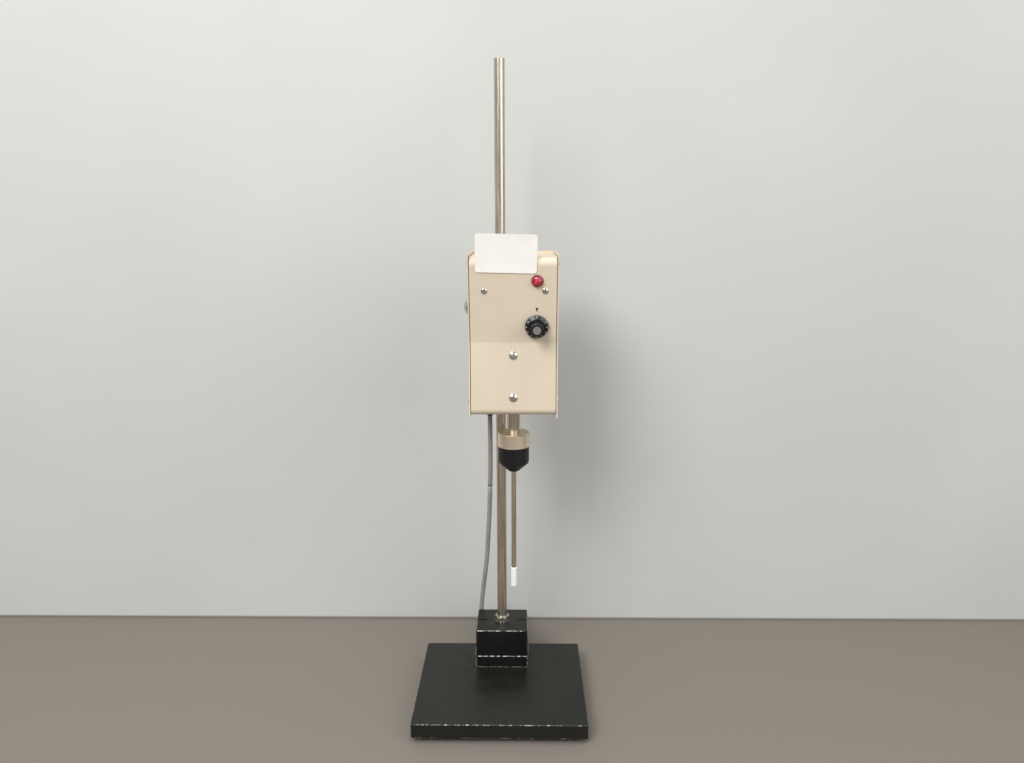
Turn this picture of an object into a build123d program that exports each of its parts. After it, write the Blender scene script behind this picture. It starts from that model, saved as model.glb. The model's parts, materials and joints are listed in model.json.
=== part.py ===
"""Overhead stirrer on a rod stand. Millimetres, +Z up, front towards -Y.

The origin is on the bench, under the middle of the base plate.
"""

import math
import os

from build123d import *

os.makedirs("parts", exist_ok=True)

# Stand
plate_width = 211.0
plate_depth = 180.0
plate_thickness = 18.0
plate_corner = 3.0
plate_edge = 1.2
foot_height = 7.0
foot_radius = 11.0
foot_inset = 20.0
foot_screw_radius = 2.0
foot_screw_reach = 9.0
block_width = 68.0
block_depth = 58.0
block_height = 52.0
block_corner = 3.0
block_edge = 1.5
block_foot_height = 16.0
block_foot_lip = 1.5
block_screw_radius = 3.0
block_screw_spacing_x = 44.0
block_screw_spacing_y = 38.0
block_screw_grip = 14.0
groove_width = 2.0
groove_depth = 1.6
groove_length = 13.5
rod_radius = 6.35
rod_length = 762.0
rod_seat = 46.4
rod_chamfer = 0.8
washer_radius = 10.2
washer_thickness = 1.2
washer_teeth = 14
nut_flats = 17.5
nut_height = 6.0

# Fits
press_gap = 0.02
running_gap = 0.06
screw_gap = 0.1
loose_gap = 0.3
hole_end = 0.5
past = 1.0

# Head: a creased front chassis inside a U-shaped rear cover
sheet = 1.5
chassis_bottom = 381.0
chassis_height = 186.0
chassis_top_bend = 9.0
chassis_bottom_bend = 7.0
crease_height = 86.5
rod_to_crease = 64.0
upper_lean = 7.5
lower_lean = 4.6
head_x = 16.4
cover_width = 104.8
rod_to_back = 27.0
cover_lip = 3.0
cover_bend = 3.0
side_gap = 0.8
tab_width = 16.0
tab_height = 20.0
flange_height = 14.0
vent_length = 44.0
vent_width = 3.0
vent_pitch = 7.0
vent_count = 5
vent_lower_z = 398.0
vent_upper_z = 524.0
cover_screw_radius = 1.75
cover_screw_head = 3.3
cover_screw_head_height = 2.1
cover_screw_length = 6.0
side_screw_inset = 6.0
side_screw_top_drop = 11.0
side_screw_bottom_rise = 18.0
back_screw_inset = 12.4

# Guide bushes on the rod
bush_radius = 8.8
bush_flange_radius = 11.5
bush_flange = 1.8
bush_length = 9.0

# Spindle, its bearings and the motor
rod_to_spindle = 33.0
spindle_radius = 7.94
spindle_top = 478.0
spindle_exit_gap = 1.0
housing_bore_gap = 1.5
stop_ring_radius = 10.44
stop_ring_height = 2.5
bearing_radius = 14.0
bearing_width = 7.0
housing_radius = 22.0
housing_bottom = 384.0
housing_top = 462.0
housing_pad_width = 30.0
housing_pad_rise = 6.0
housing_pad_drop = 2.0
race_lip = 1.8
race_dish = 0.5
housing_screw_radius = 2.5
housing_screw_head = 4.7
housing_screw_head_height = 2.6
housing_screw_length = 16.0
housing_screw_upper = 15.0
housing_screw_lower = 65.2
adapter_radius = 24.0
adapter_height = 30.0
adapter_plate = 3.0
adapter_wall = 3.0
adapter_window = 64.0
adapter_screw_radius = 1.5
adapter_screw_head = 2.7
adapter_screw_head_height = 2.0
adapter_screw_reach = 5.0
adapter_screw_circle = 18.0
adapter_screw_angle = 30.0
coupling_radius = 12.0
coupling_half = 8.0
coupling_jaw = 5.0
coupling_jaw_root = 5.0
spider_radius = 4.6
spider_arm = 1.6
motor_radius = 24.0
motor_height = 58.0
motor_wall = 1.8
motor_floor = 6.0
motor_magnet = 3.0
cap_spigot = 3.5
motor_shaft_radius = 3.0
armature_radius = 17.0
armature_low = 12.0
armature_high = 14.0
armature_slots = 8
armature_slot = 2.5
commutator_radius = 8.5
commutator_length = 9.0
end_cap_height = 7.0
brush_stem_radius = 3.0
brush_stem = 6.0
brush_cap_radius = 3.3
brush_reach = 3.0

# Chuck and pestle
collar_top = 350.4
collar_height = 17.0
collar_radius = 19.9
sleeve_radius = 19.1
sleeve_nose_radius = 6.6
sleeve_shoulder_z = 311.5
sleeve_nose_z = 300.8
sleeve_wall = 2.4
chuck_core_radius = 13.0
chuck_bore_radius = 5.0
spindle_socket = 3.0
jaw_angle = 15.0
jaw_radius = 3.2
jaw_tip_z = 305.0
jaw_length = 15.5
jaw_tip_offset = 4.6
jaw_stroke = 5.18
pestle_radius = 3.175
pestle_top = 324.0
tip_radius = 4.0
tip_length = 26.6
tip_bottom = 143.7
tip_socket = 12.0
tip_nose = 1.2
tip_shoulder = 0.6

# Controls on the upper face, measured from the crease up the face and from the head's middle
knob_u = 27.3
knob_v = 20.2
knob_skirt_radius = 13.7
knob_skirt_rim = 1.4
knob_cone_radius = 9.4
knob_cone_height = 4.2
knob_radius = 8.2
knob_tip_radius = 7.5
knob_height = 17.5
knob_edge = 0.7
knob_end_wall = 4.0
knob_screw_rise = 2.6
knob_flutes = 14
knob_flute_radius = 1.0
knob_lift = 3.0
knob_cap_radius = 4.8
knob_cap_height = 0.8
set_screw_radius = 1.5
pot_radius = 12.0
pot_depth = 11.0
pot_bush_radius = 4.7
pot_bush_length = 4.6
pot_nut_flats = 12.0
pot_nut_height = 2.0
pot_shaft_radius = 3.0
lamp_u = 27.8
lamp_v = 73.2
lamp_radius = 7.2
lamp_bezel = 1.2
lamp_height = 6.4
lamp_body_radius = 5.8
lamp_body_length = 20.0
lamp_nut_flats = 14.0
lamp_nut_height = 2.4
lamp_facets = 12
board_margin = 6.1
board_height = 44.0
board_thickness = 1.6
board_v = 67.0
heat_sink_v = 77.0
board_standoff = 8.0
board_lamp_gap = 2.5
standoff_radius = 3.2
board_screw_u_left = -33.4
board_screw_u_right = 36.9
board_screw_v = 61.6
board_screw_radius = 1.5
board_screw_head = 3.4
board_screw_head_height = 1.7
heat_sink_width = 16.0
heat_sink_height = 20.0
heat_sink_depth = 14.0
heat_sink_fins = 5
heat_sink_fin = 1.2
heat_sink_base = 2.0

# Rod clamp and its knob
clamp_z = 503.0
clamp_height = 30.0
clamp_radius = 11.0
clamp_tail_width = 20.0
clamp_screw_radius = 2.0
clamp_screw_head = 3.8
clamp_screw_head_height = 2.4
clamp_screw_offset = 9.0
clamp_screw_grip = 10.0
stud_radius = 4.0
lock_knob_radius = 10.2
lock_knob_rim = 3.6
lock_knob_dome = 5.2
lock_knob_neck_radius = 6.0
lock_knob_neck = 0.8
lock_stud_grip = 5.0

# Mains cord
cord_diameter = 6.2
gland_x = -14.9
rod_to_gland = 15.5
gland_drop = 21.0
gland_body_radius = 6.0
gland_flange_radius = 8.0
gland_flange = 2.0
coil_x = -1.4
coil_y = 146.5
coil_mean_radius = 31.0
coil_layers = (4, 3)
plug_place = (22.7, 139.5, 36.4)
plug_heading = -115.0
plug_relief = 10.0
plug_length = 24.0
plug_width = 25.0
plug_height = 21.0
blade_length = 17.0
blade_width = 6.35
blade_thickness = 1.5
blade_spacing = 12.7
earth_pin_radius = 2.4
earth_pin_offset = 8.0
tie_angle = 250.0
tie_width = 9.0
tie_thickness = 1.0

# Places that follow from the sizes above
plate_top = foot_height + plate_thickness
block_top = plate_top + block_height
rod_y = plate_depth / 2 - block_depth / 2
rod_bottom = block_top - rod_seat
rod_top = rod_bottom + rod_length
chassis_top = chassis_bottom + chassis_height
crease_z = chassis_bottom + crease_height
cover_inner = cover_width / 2 - sheet
chassis_width = 2 * (cover_inner - side_gap)
crease_y = rod_y - rod_to_crease
cover_back = rod_y + rod_to_back
spindle_y = rod_y - rod_to_spindle
gland_y = rod_y + rod_to_gland
back_screw_x = cover_width / 2 - back_screw_inset
board_width = chassis_width - 2 * board_margin
side_screw_y = crease_y + side_screw_inset
motor_low = housing_top + adapter_height
motor_high = motor_low + motor_height
chassis_back = cover_back - sheet
collar_bottom = collar_top - collar_height
cord_radius = cord_diameter / 2
cord_start_z = chassis_bottom - gland_drop
upper_slope = math.tan(math.radians(upper_lean))
lower_slope = math.tan(math.radians(lower_lean))


def facing(lean, upwards):
    """Plane on the head's front at the crease, X to the right, Y up the face and Z out of it."""
    tilt = math.radians(lean)
    side = 1 if upwards else -1
    return Plane(
        origin=(head_x, crease_y, crease_z),
        x_dir=(1, 0, 0),
        z_dir=(0, -math.cos(tilt), -side * math.sin(tilt)),
    )


upper_face = facing(upper_lean, True)
lower_face = facing(lower_lean, False)


def front_at(z):
    """Y of the head's outer front at a height: two faces that lean forward from the crease."""
    if z > crease_z:
        return crease_y - (z - crease_z) * upper_slope
    return crease_y - (crease_z - z) * lower_slope


def lower_inside_at(z):
    """Y of the lower front face's inner side at a height."""
    return front_at(z) + sheet / math.cos(math.radians(lower_lean))


def save(node, *shapes):
    """Write one node, with each of its solids kept separate."""
    solids = [solid for shape in shapes for solid in shape.solids()]
    body = solids[0] if len(solids) == 1 else Compound(children=solids)
    export_step(body, f"parts/{node}.step")


def post(radius, low, high, x=0.0, y=0.0):
    """Upright cylinder between two heights."""
    return Pos(x, y, (low + high) / 2) * Cylinder(radius, high - low)


def brick(x_range, y_range, z_range):
    """Box between pairs of limits."""
    spans = (x_range, y_range, z_range)
    middle = [(low + high) / 2 for low, high in spans]
    lengths = [high - low for low, high in spans]
    return Pos(*middle) * Box(*lengths)


def turned(points, x=0.0, y=0.0):
    """Solid of revolution about an upright axis, from points of radius and height."""
    profile = make_face(Polyline(*points, close=True))
    return Pos(x, y, 0) * revolve(Plane.XZ * profile, Axis.Z)


def hexagon(flats, height):
    """Hexagonal prism from z 0 up, with its upper corners turned off."""
    corner = flats / math.sqrt(3)
    prism = extrude(RegularPolygon(corner, 6), height)
    bevel = corner - flats / 2
    envelope = turned(
        [(0, 0), (corner, 0), (corner, height - bevel * 0.6), (flats / 2, height), (0, height)]
    )
    return prism & envelope


def dome_middle(radius, low, high):
    """Point midway along a dome's arc, from its rim up to the axis, where the arc lies flat."""
    rise = high - low
    sphere = (radius**2 + rise**2) / (2 * rise)
    half = math.asin(radius / sphere) / 2
    return (sphere * math.sin(half), high - sphere * (1 - math.cos(half)))


def pan_screw(head, head_height, shank, length, recess=True):
    """Cross-recessed pan-head screw, with its head above z 0 and its shank below."""
    rim = head_height * 0.45
    outline = Curve() + [
        Polyline((0, head_height), (0, 0), (head, 0), (head, rim)),
        ThreePointArc((head, rim), dome_middle(head, rim, head_height), (0, head_height)),
    ]
    top = revolve(Plane.XZ * make_face(outline), Axis.Z)
    if recess:
        slot = head * 0.3
        for turn in (0, 90):
            top -= Rot(0, 0, turn) * Pos(0, 0, head_height) * Box(head * 1.1, slot, head_height * 1.1)
    return top + post(shank, -length, 0.01)


def support_stand():
    """Base plate on rubber feet, with the cast block that holds the rod."""
    plate = brick(
        (-plate_width / 2, plate_width / 2),
        (-plate_depth / 2, plate_depth / 2),
        (foot_height, plate_top),
    )
    plate = fillet(plate.edges().filter_by(Axis.Z), plate_corner)
    plate = fillet(plate.faces().sort_by(Axis.Z)[-1].edges(), plate_edge)
    foot_places = [
        (x * (plate_width / 2 - foot_inset), y * (plate_depth / 2 - foot_inset))
        for x in (-1, 1)
        for y in (-1, 1)
    ]
    head_radius = foot_screw_radius * 2.1
    recess = foot_height * 0.55
    feet = []
    screws = []
    for x, y in foot_places:
        foot = turned(
            [
                (0, 0),
                (foot_radius * 0.86, 0),
                (foot_radius, foot_height * 0.4),
                (foot_radius, foot_height),
                (0, foot_height),
            ],
            x,
            y,
        )
        foot -= post(head_radius + loose_gap, -1, recess, x, y)
        foot -= post(foot_screw_radius + screw_gap, -1, foot_height + 1, x, y)
        feet.append(foot)
        screw = post(head_radius, recess - foot_screw_radius, recess, x, y)
        screw += post(foot_screw_radius, recess, foot_height + foot_screw_reach, x, y)
        screws.append(screw)
        tapped = foot_height + foot_screw_reach + hole_end
        plate -= post(foot_screw_radius + screw_gap, foot_height - past, tapped, x, y)

    half = block_width / 2
    back = rod_y + block_depth / 2
    block = brick((-half, half), (rod_y - block_depth / 2, back), (plate_top, block_top))
    block = fillet(block.edges().filter_by(Axis.Z), block_corner)
    block = fillet(block.faces().sort_by(Axis.Z)[-1].edges(), block_edge)
    foot_top = plate_top + block_foot_height
    foot = brick(
        (-half - block_foot_lip, half + block_foot_lip),
        (rod_y - block_depth / 2 - block_foot_lip, back),
        (plate_top, foot_top),
    )
    foot = fillet(foot.edges().filter_by(Axis.Z), block_corner)
    foot = fillet(foot.faces().sort_by(Axis.Z)[-1].edges(), block_foot_lip * 0.6)
    block += foot
    block -= post(rod_radius + running_gap, rod_bottom, block_top + 1, 0, rod_y)
    for side in (-1, 1):
        block -= brick(
            sorted((side * (half + 1), side * (half - groove_length))),
            (rod_y - groove_width / 2, rod_y + groove_width / 2),
            (block_top - groove_depth, block_top + 1),
        )
    block_screws = []
    screw_head = block_screw_radius * 1.7
    for x in (-block_screw_spacing_x / 2, block_screw_spacing_x / 2):
        for y in (rod_y - block_screw_spacing_y / 2, rod_y + block_screw_spacing_y / 2):
            seat = foot_height + block_screw_radius * 2.2
            plate -= post(screw_head + screw_gap, foot_height - 1, seat, x, y)
            plate -= post(block_screw_radius + screw_gap, foot_height, plate_top + 1, x, y)
            tapped = plate_top + block_screw_grip + hole_end
            block -= post(block_screw_radius + screw_gap, plate_top - past, tapped, x, y)
            head = post(screw_head, seat - block_screw_radius * 2, seat, x, y)
            socket = Pos(x, y, seat - block_screw_radius * 2) * extrude(
                RegularPolygon(block_screw_radius, 6), block_screw_radius
            )
            shank = post(block_screw_radius, seat, plate_top + block_screw_grip, x, y)
            block_screws.append(head - socket + shank)
    save("base_plate", plate)
    save("base_feet", *feet)
    save("foot_screws", *screws)
    save("rod_block", block)
    save("block_screws", *block_screws)


def support_rod():
    """Plain steel rod, held in the block by a nut over a toothed washer."""
    rod = turned(
        [
            (0, rod_bottom),
            (rod_radius, rod_bottom),
            (rod_radius, rod_top - rod_chamfer),
            (rod_radius - rod_chamfer, rod_top),
            (0, rod_top),
        ],
        0,
        rod_y,
    )
    bore = rod_radius + running_gap
    tooth_root = washer_radius * 0.8
    washer = post(tooth_root, block_top, block_top + washer_thickness, 0, rod_y)
    tooth_width = math.pi * washer_radius / washer_teeth
    for index in range(washer_teeth):
        tooth = Box(washer_radius * 0.5, tooth_width, washer_thickness)
        place = Pos(0, rod_y, block_top + washer_thickness / 2) * Rot(0, 0, index * 360 / washer_teeth)
        washer += place * Pos(washer_radius * 0.75, 0, 0) * tooth
    washer -= post(bore, block_top - 1, block_top + washer_thickness + 1, 0, rod_y)
    nut_seat = block_top + washer_thickness
    nut = Pos(0, rod_y, nut_seat) * hexagon(nut_flats, nut_height)
    nut -= post(bore, nut_seat - 1, nut_seat + nut_height + 1, 0, rod_y)
    save("support_rod", rod)
    save("rod_lock_washer", washer)
    save("rod_jam_nut", nut)


def side_screw_heights():
    """Heights of the side screws, top and bottom."""
    return (
        chassis_top + cover_lip - side_screw_top_drop,
        chassis_bottom - cover_lip + side_screw_bottom_rise,
    )


def back_screw_heights():
    """Heights of the back screws, in the middle of the chassis's rear flanges."""
    return (chassis_top - flange_height * 0.55, chassis_bottom + flange_height * 0.55)


def clamp_screw_heights():
    """Heights of the screws that hold the rod clamp to the back."""
    return (clamp_z - clamp_screw_offset, clamp_z + clamp_screw_offset)


def front_chassis():
    """Sheet folded to make the creased front, the top and the bottom, with lugs for the cover."""
    top_corner = (front_at(chassis_top), chassis_top)
    bottom_corner = (front_at(chassis_bottom), chassis_bottom)
    outline = make_face(
        Polyline(
            (cover_back, chassis_top),
            top_corner,
            (crease_y, crease_z),
            bottom_corner,
            (cover_back, chassis_bottom),
            close=True,
        )
    )
    for corner, radius in ((top_corner, chassis_top_bend), (bottom_corner, chassis_bottom_bend)):
        nearest = outline.vertices().sort_by_distance((*corner, 0))[0]
        outline = fillet(nearest, radius)
    inside = offset(outline, amount=-sheet, kind=Kind.INTERSECTION)
    wall = outline - inside
    trim = Rectangle(sheet * 4, chassis_height * 2, align=(Align.MIN, Align.CENTER))
    wall -= Pos(chassis_back, chassis_bottom + chassis_height / 2) * trim
    for low in (chassis_bottom, chassis_top - flange_height):
        flange = Rectangle(sheet, flange_height, align=(Align.MAX, Align.MIN))
        wall += Pos(chassis_back, low) * flange
    chassis = Pos(head_x, 0, 0) * extrude(Plane.YZ * wall, amount=chassis_width / 2, both=True)

    side_screws = side_screw_heights()
    for side in (-1, 1):
        lug_x = sorted((head_x + side * cover_inner, head_x + side * (cover_inner - sheet)))
        for z in side_screws:
            at_top = z > crease_z
            edge = chassis_top - sheet / 2 if at_top else chassis_bottom + sheet / 2
            low, high = sorted((edge, edge - tab_height if at_top else edge + tab_height))
            lug = brick(lug_x, (side_screw_y - tab_width / 4, side_screw_y + tab_width * 0.75), (low, high))
            chassis += lug
            hole = Rot(0, 90, 0) * Cylinder(cover_screw_radius + screw_gap, sheet * 4)
            chassis -= Pos(head_x + side * cover_inner, side_screw_y, z) * hole
    across = Rot(90, 0, 0) * Cylinder(cover_screw_radius + screw_gap, sheet * 4)
    for side in (-1, 1):
        for z in back_screw_heights():
            chassis -= Pos(head_x + side * back_screw_x, chassis_back, z) * across

    for low in (chassis_bottom, chassis_top - sheet):
        chassis -= post(bush_radius + running_gap, low - 1, low + sheet + 1, 0, rod_y)
    floor = (chassis_bottom - past, chassis_bottom + sheet + past)
    chassis -= post(spindle_radius + spindle_exit_gap, *floor, head_x, spindle_y)
    chassis -= post(gland_body_radius, *floor, gland_x, gland_y)
    through = sheet * 4
    chassis -= upper_face * Pos(knob_u, knob_v, 0) * Cylinder(pot_bush_radius, through)
    chassis -= upper_face * Pos(lamp_u, lamp_v, 0) * Cylinder(lamp_body_radius, through)
    for u in (board_screw_u_left, board_screw_u_right):
        chassis -= upper_face * Pos(u, board_screw_v, 0) * Cylinder(board_screw_radius + screw_gap, through)
    for v in (housing_screw_upper, housing_screw_lower):
        chassis -= lower_face * Pos(0, -v, 0) * Cylinder(housing_screw_radius + screw_gap, through)
    bend_room = cover_bend * 0.5
    for side in (-1, 1):
        edge = head_x + side * chassis_width / 2
        notch_x = sorted((edge - side * bend_room, edge + side))
        notch_z = (chassis_bottom - past, chassis_top + past)
        chassis -= brick(notch_x, (chassis_back - bend_room, cover_back), notch_z)
    save("front_chassis", chassis)


def rear_cover():
    """Back and sides in one bent sheet: its square-cornered sides stand proud of the chassis."""
    low = chassis_bottom - cover_lip
    high = chassis_top + cover_lip
    side = make_face(
        Polyline(
            (cover_back, low),
            (front_at(low), low),
            (crease_y, crease_z),
            (front_at(high), high),
            (cover_back, high),
            close=True,
        )
    )
    cover = Pos(head_x, 0, 0) * extrude(Plane.YZ * side, amount=cover_width / 2, both=True)
    back_edges = cover.edges().filter_by(Axis.Z).group_by(Axis.Y)[-1]
    cover = fillet(back_edges, cover_bend)
    front = front_at(high) - 1
    hollow = brick(
        (head_x - cover_inner, head_x + cover_inner),
        (front, chassis_back),
        (low - 1, high + 1),
    )
    hollow = fillet(hollow.edges().filter_by(Axis.Z).group_by(Axis.Y)[-1], cover_bend - sheet)
    cover -= hollow
    for side_sign in (-1, 1):
        for z in side_screw_heights():
            hole = Rot(0, 90, 0) * Cylinder(cover_screw_radius + screw_gap, sheet * 4)
            cover -= Pos(head_x + side_sign * cover_inner, side_screw_y, z) * hole
        for z in back_screw_heights():
            hole = Rot(90, 0, 0) * Cylinder(cover_screw_radius + screw_gap, sheet * 4)
            cover -= Pos(head_x + side_sign * back_screw_x, chassis_back, z) * hole
    for z in clamp_screw_heights():
        hole = Rot(90, 0, 0) * Cylinder(clamp_screw_radius + screw_gap, sheet * 4)
        cover -= Pos(0, chassis_back, z) * hole
    for start in (vent_lower_z, vent_upper_z):
        for index in range(vent_count):
            slot = Plane.XZ * SlotOverall(vent_length, vent_width)
            cutter = extrude(slot, amount=sheet * 2, both=True)
            cover -= Pos(head_x, chassis_back, start + index * vent_pitch) * cutter
    stud_hole = Rot(0, 90, 0) * Cylinder(stud_radius + loose_gap, sheet * 4)
    cover -= Pos(head_x - cover_inner, rod_y, clamp_z) * stud_hole
    save("rear_cover", cover)


def cover_screws():
    """Pan-head screws in the sides and the back."""
    screws = []
    screw = pan_screw(cover_screw_head, cover_screw_head_height, cover_screw_radius, cover_screw_length)
    for side in (-1, 1):
        for z in side_screw_heights():
            seat = Pos(head_x + side * cover_width / 2, side_screw_y, z)
            screws.append(seat * Rot(0, side * 90, 0) * screw)
        for z in back_screw_heights():
            screws.append(Pos(head_x + side * back_screw_x, cover_back, z) * Rot(-90, 0, 0) * screw)
    save("cover_screws", *screws)


def guide_bushes():
    """Flanged nylon bushes that run on the rod in the chassis's top and bottom."""
    bore = rod_radius + running_gap
    bushes = []
    for panel, outward in ((chassis_top, 1), (chassis_bottom, -1)):
        flange_seat = panel + outward * screw_gap
        flange_end = flange_seat + outward * bush_flange
        inner_end = panel - outward * (bush_length - bush_flange)
        bush = post(bush_radius, *sorted((inner_end, flange_end)), 0, rod_y)
        bush += post(bush_flange_radius, *sorted((flange_seat, flange_end)), 0, rod_y)
        bush -= post(bore, *sorted((inner_end - outward, flange_end + outward)), 0, rod_y)
        bushes.append(bush)
    save("rod_bushes", *bushes)


def adapter_bolts():
    """Places of the three screws at each end of the lantern."""
    for index in range(3):
        angle = math.radians(adapter_screw_angle + 120 * index)
        x = head_x + adapter_screw_circle * math.cos(angle)
        y = spindle_y + adapter_screw_circle * math.sin(angle)
        yield x, y


def bearing_housing():
    """Bored casting with a pad that the two front screws draw against the lower face."""
    housing = post(housing_radius, housing_bottom, housing_top, head_x, spindle_y)
    pad_low = housing_bottom + housing_pad_rise
    pad_high = housing_top - housing_pad_drop
    pad_profile = make_face(
        Polyline(
            (lower_inside_at(pad_low), pad_low),
            (lower_inside_at(pad_high), pad_high),
            (spindle_y, pad_high),
            (spindle_y, pad_low),
            close=True,
        )
    )
    housing += Pos(head_x, 0, 0) * extrude(Plane.YZ * pad_profile, amount=housing_pad_width / 2, both=True)
    bore = spindle_radius + housing_bore_gap
    housing -= post(bore, housing_bottom - past, housing_top + past, head_x, spindle_y)
    bearings = []
    for low in (housing_bottom, housing_top - bearing_width):
        high = low + bearing_width
        housing -= post(bearing_radius + press_gap, low, high, head_x, spindle_y)
        race = post(bearing_radius, low, high, head_x, spindle_y)
        race -= post(spindle_radius + running_gap, low - past, high + past, head_x, spindle_y)
        for face in (low, high):
            groove = post(bearing_radius - race_lip, face - race_dish, face + race_dish, head_x, spindle_y)
            groove -= post(spindle_radius + race_lip, face - past, face + past, head_x, spindle_y)
            race -= groove
        bearings.append(race)
    screws = []
    for v in (housing_screw_upper, housing_screw_lower):
        place = lower_face * Pos(0, -v, 0)
        screw = pan_screw(
            housing_screw_head, housing_screw_head_height, housing_screw_radius, housing_screw_length
        )
        screws.append(place * screw)
        housing -= place * post(housing_screw_radius + screw_gap, -housing_screw_length - hole_end, 0)
    tapped = adapter_screw_reach + hole_end
    for x, y in adapter_bolts():
        housing -= post(adapter_screw_radius + screw_gap, housing_top - tapped, housing_top + past, x, y)
    save("bearing_housing", housing)
    save("housing_screws", *screws)
    save("spindle_bearings", *bearings)


def motor_adapter():
    """Lantern between the bearing housing and the motor, open at three windows."""
    low = housing_top
    high = motor_low
    floor = low + adapter_plate
    ceiling = high - adapter_plate
    adapter = post(adapter_radius, low, high, head_x, spindle_y)
    adapter -= post(adapter_radius - adapter_wall, floor, ceiling, head_x, spindle_y)
    adapter -= post(coupling_radius + housing_bore_gap, low - past, high + past, head_x, spindle_y)
    reach = adapter_radius * 1.2
    half_width = reach * math.tan(math.radians(adapter_window / 2))
    window = make_face(Polyline((0, 0), (reach, -half_width), (reach, half_width), close=True))
    for index in range(3):
        turn = adapter_screw_angle + 120 * index
        adapter -= Pos(head_x, spindle_y, floor) * Rot(0, 0, turn) * extrude(window, ceiling - floor)
    screws = []
    for x, y in adapter_bolts():
        for seat, inward in ((floor, 1), (ceiling, -1)):
            hole = sorted((seat + inward * past, seat - inward * (adapter_plate + past)))
            adapter -= post(adapter_screw_radius + screw_gap, *hole, x, y)
            end = seat - inward * (adapter_plate + adapter_screw_reach)
            screw = post(adapter_screw_radius, *sorted((seat, end)), x, y)
            head_end = seat + inward * adapter_screw_head_height
            screw += post(adapter_screw_head, *sorted((seat, head_end)), x, y)
            screws.append(screw)
    save("motor_adapter", adapter)
    save("adapter_screws", *screws)


def motor():
    """Steel can with its end cap and brush caps, and the armature that turns inside it."""
    low = motor_low
    high = motor_high
    top = high + end_cap_height
    shaft_bore = motor_shaft_radius + running_gap
    inside = motor_radius - motor_wall
    can = post(motor_radius, low, high, head_x, spindle_y)
    can -= post(inside - motor_magnet, low + motor_floor, high + past, head_x, spindle_y)
    can -= post(inside, high - cap_spigot - hole_end, high + past, head_x, spindle_y)
    can -= post(shaft_bore, low - past, low + motor_floor + past, head_x, spindle_y)
    for x, y in adapter_bolts():
        can -= post(adapter_screw_radius + screw_gap, low - past, low + adapter_screw_reach + hole_end, x, y)
    cap = post(motor_radius, high, top, head_x, spindle_y)
    cap += post(inside - screw_gap, high - cap_spigot, high, head_x, spindle_y)
    cap -= post(shaft_bore, high - cap_spigot - past, top - motor_wall, head_x, spindle_y)
    brushes = []
    stem_start = motor_radius - brush_stem
    for side in (-1, 1):
        place = Pos(head_x, spindle_y, high + end_cap_height / 2) * Rot(0, side * 90, 0)
        cap -= place * post(brush_stem_radius + screw_gap, stem_start, motor_radius + past)
        stem = post(brush_stem_radius, stem_start, motor_radius)
        head = post(brush_cap_radius, motor_radius, motor_radius + brush_reach)
        brushes.append(place * (stem + head))
    core_high = high - armature_high
    armature = post(armature_radius, low + armature_low, core_high, head_x, spindle_y)
    slot = Box(armature_radius * 0.35, armature_slot, motor_height)
    for index in range(armature_slots):
        turn = Rot(0, 0, index * 360 / armature_slots)
        armature -= Pos(head_x, spindle_y, (low + high) / 2) * turn * Pos(armature_radius, 0, 0) * slot
    armature += post(commutator_radius, core_high, core_high + commutator_length, head_x, spindle_y)
    shaft_low = spindle_top + coupling_jaw - hole_end
    armature += post(motor_shaft_radius, shaft_low, top - motor_wall - hole_end, head_x, spindle_y)
    save("motor_can", can)
    save("motor_end_cap", cap)
    save("brush_caps", *brushes)
    save("motor_armature", armature)


def shaft_coupling():
    """Two jawed hubs with a rubber spider between them."""
    jaws_low = spindle_top
    jaws_high = jaws_low + coupling_jaw
    hubs = {
        "coupling_lower": (jaws_low - coupling_half, jaws_low, spindle_radius, 0),
        "coupling_upper": (jaws_high, jaws_high + coupling_half, motor_shaft_radius, 60),
    }
    jaw_reach = coupling_radius - hole_end
    root_half = coupling_jaw_root * math.tan(math.radians(18))
    tip_half = jaw_reach * math.tan(math.radians(18))
    outline = Polyline(
        (coupling_jaw_root, -root_half),
        (jaw_reach, -tip_half),
        (jaw_reach, tip_half),
        (coupling_jaw_root, root_half),
        close=True,
    )
    jaw = extrude(make_face(outline), coupling_jaw)
    for node, (low, high, bore, turn) in hubs.items():
        hub = post(coupling_radius, low, high, head_x, spindle_y)
        for index in range(3):
            hub += Pos(head_x, spindle_y, jaws_low) * Rot(0, 0, turn + 120 * index) * jaw
        hub -= post(bore + press_gap, low - past, high + past, head_x, spindle_y)
        save(node, hub)
    arm_height = coupling_jaw - 2 * loose_gap
    spider = post(spider_radius, jaws_low + loose_gap, jaws_high - loose_gap, head_x, spindle_y)
    arm = Pos(coupling_radius / 2, 0, 0) * Box(coupling_radius - 2 * past, spider_arm, arm_height)
    for index in range(6):
        spider += Pos(head_x, spindle_y, (jaws_low + jaws_high) / 2) * Rot(0, 0, 30 + 60 * index) * arm
    spider -= post(motor_shaft_radius + loose_gap, jaws_low - past, jaws_high + past, head_x, spindle_y)
    save("coupling_spider", spider)


def spindle():
    """Ground shaft from the coupling down through both bearings into the chuck."""
    bottom = collar_bottom + spindle_socket
    shaft = post(spindle_radius, bottom, spindle_top, head_x, spindle_y)
    save("spindle_shaft", chamfer(shaft.edges().group_by(Axis.Z)[-1], rod_chamfer))
    low = housing_top + screw_gap
    ring = post(stop_ring_radius, low, low + stop_ring_height, head_x, spindle_y)
    ring -= post(spindle_radius + press_gap, low - past, low + stop_ring_height + past, head_x, spindle_y)
    save("spindle_stop_ring", ring)


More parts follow.
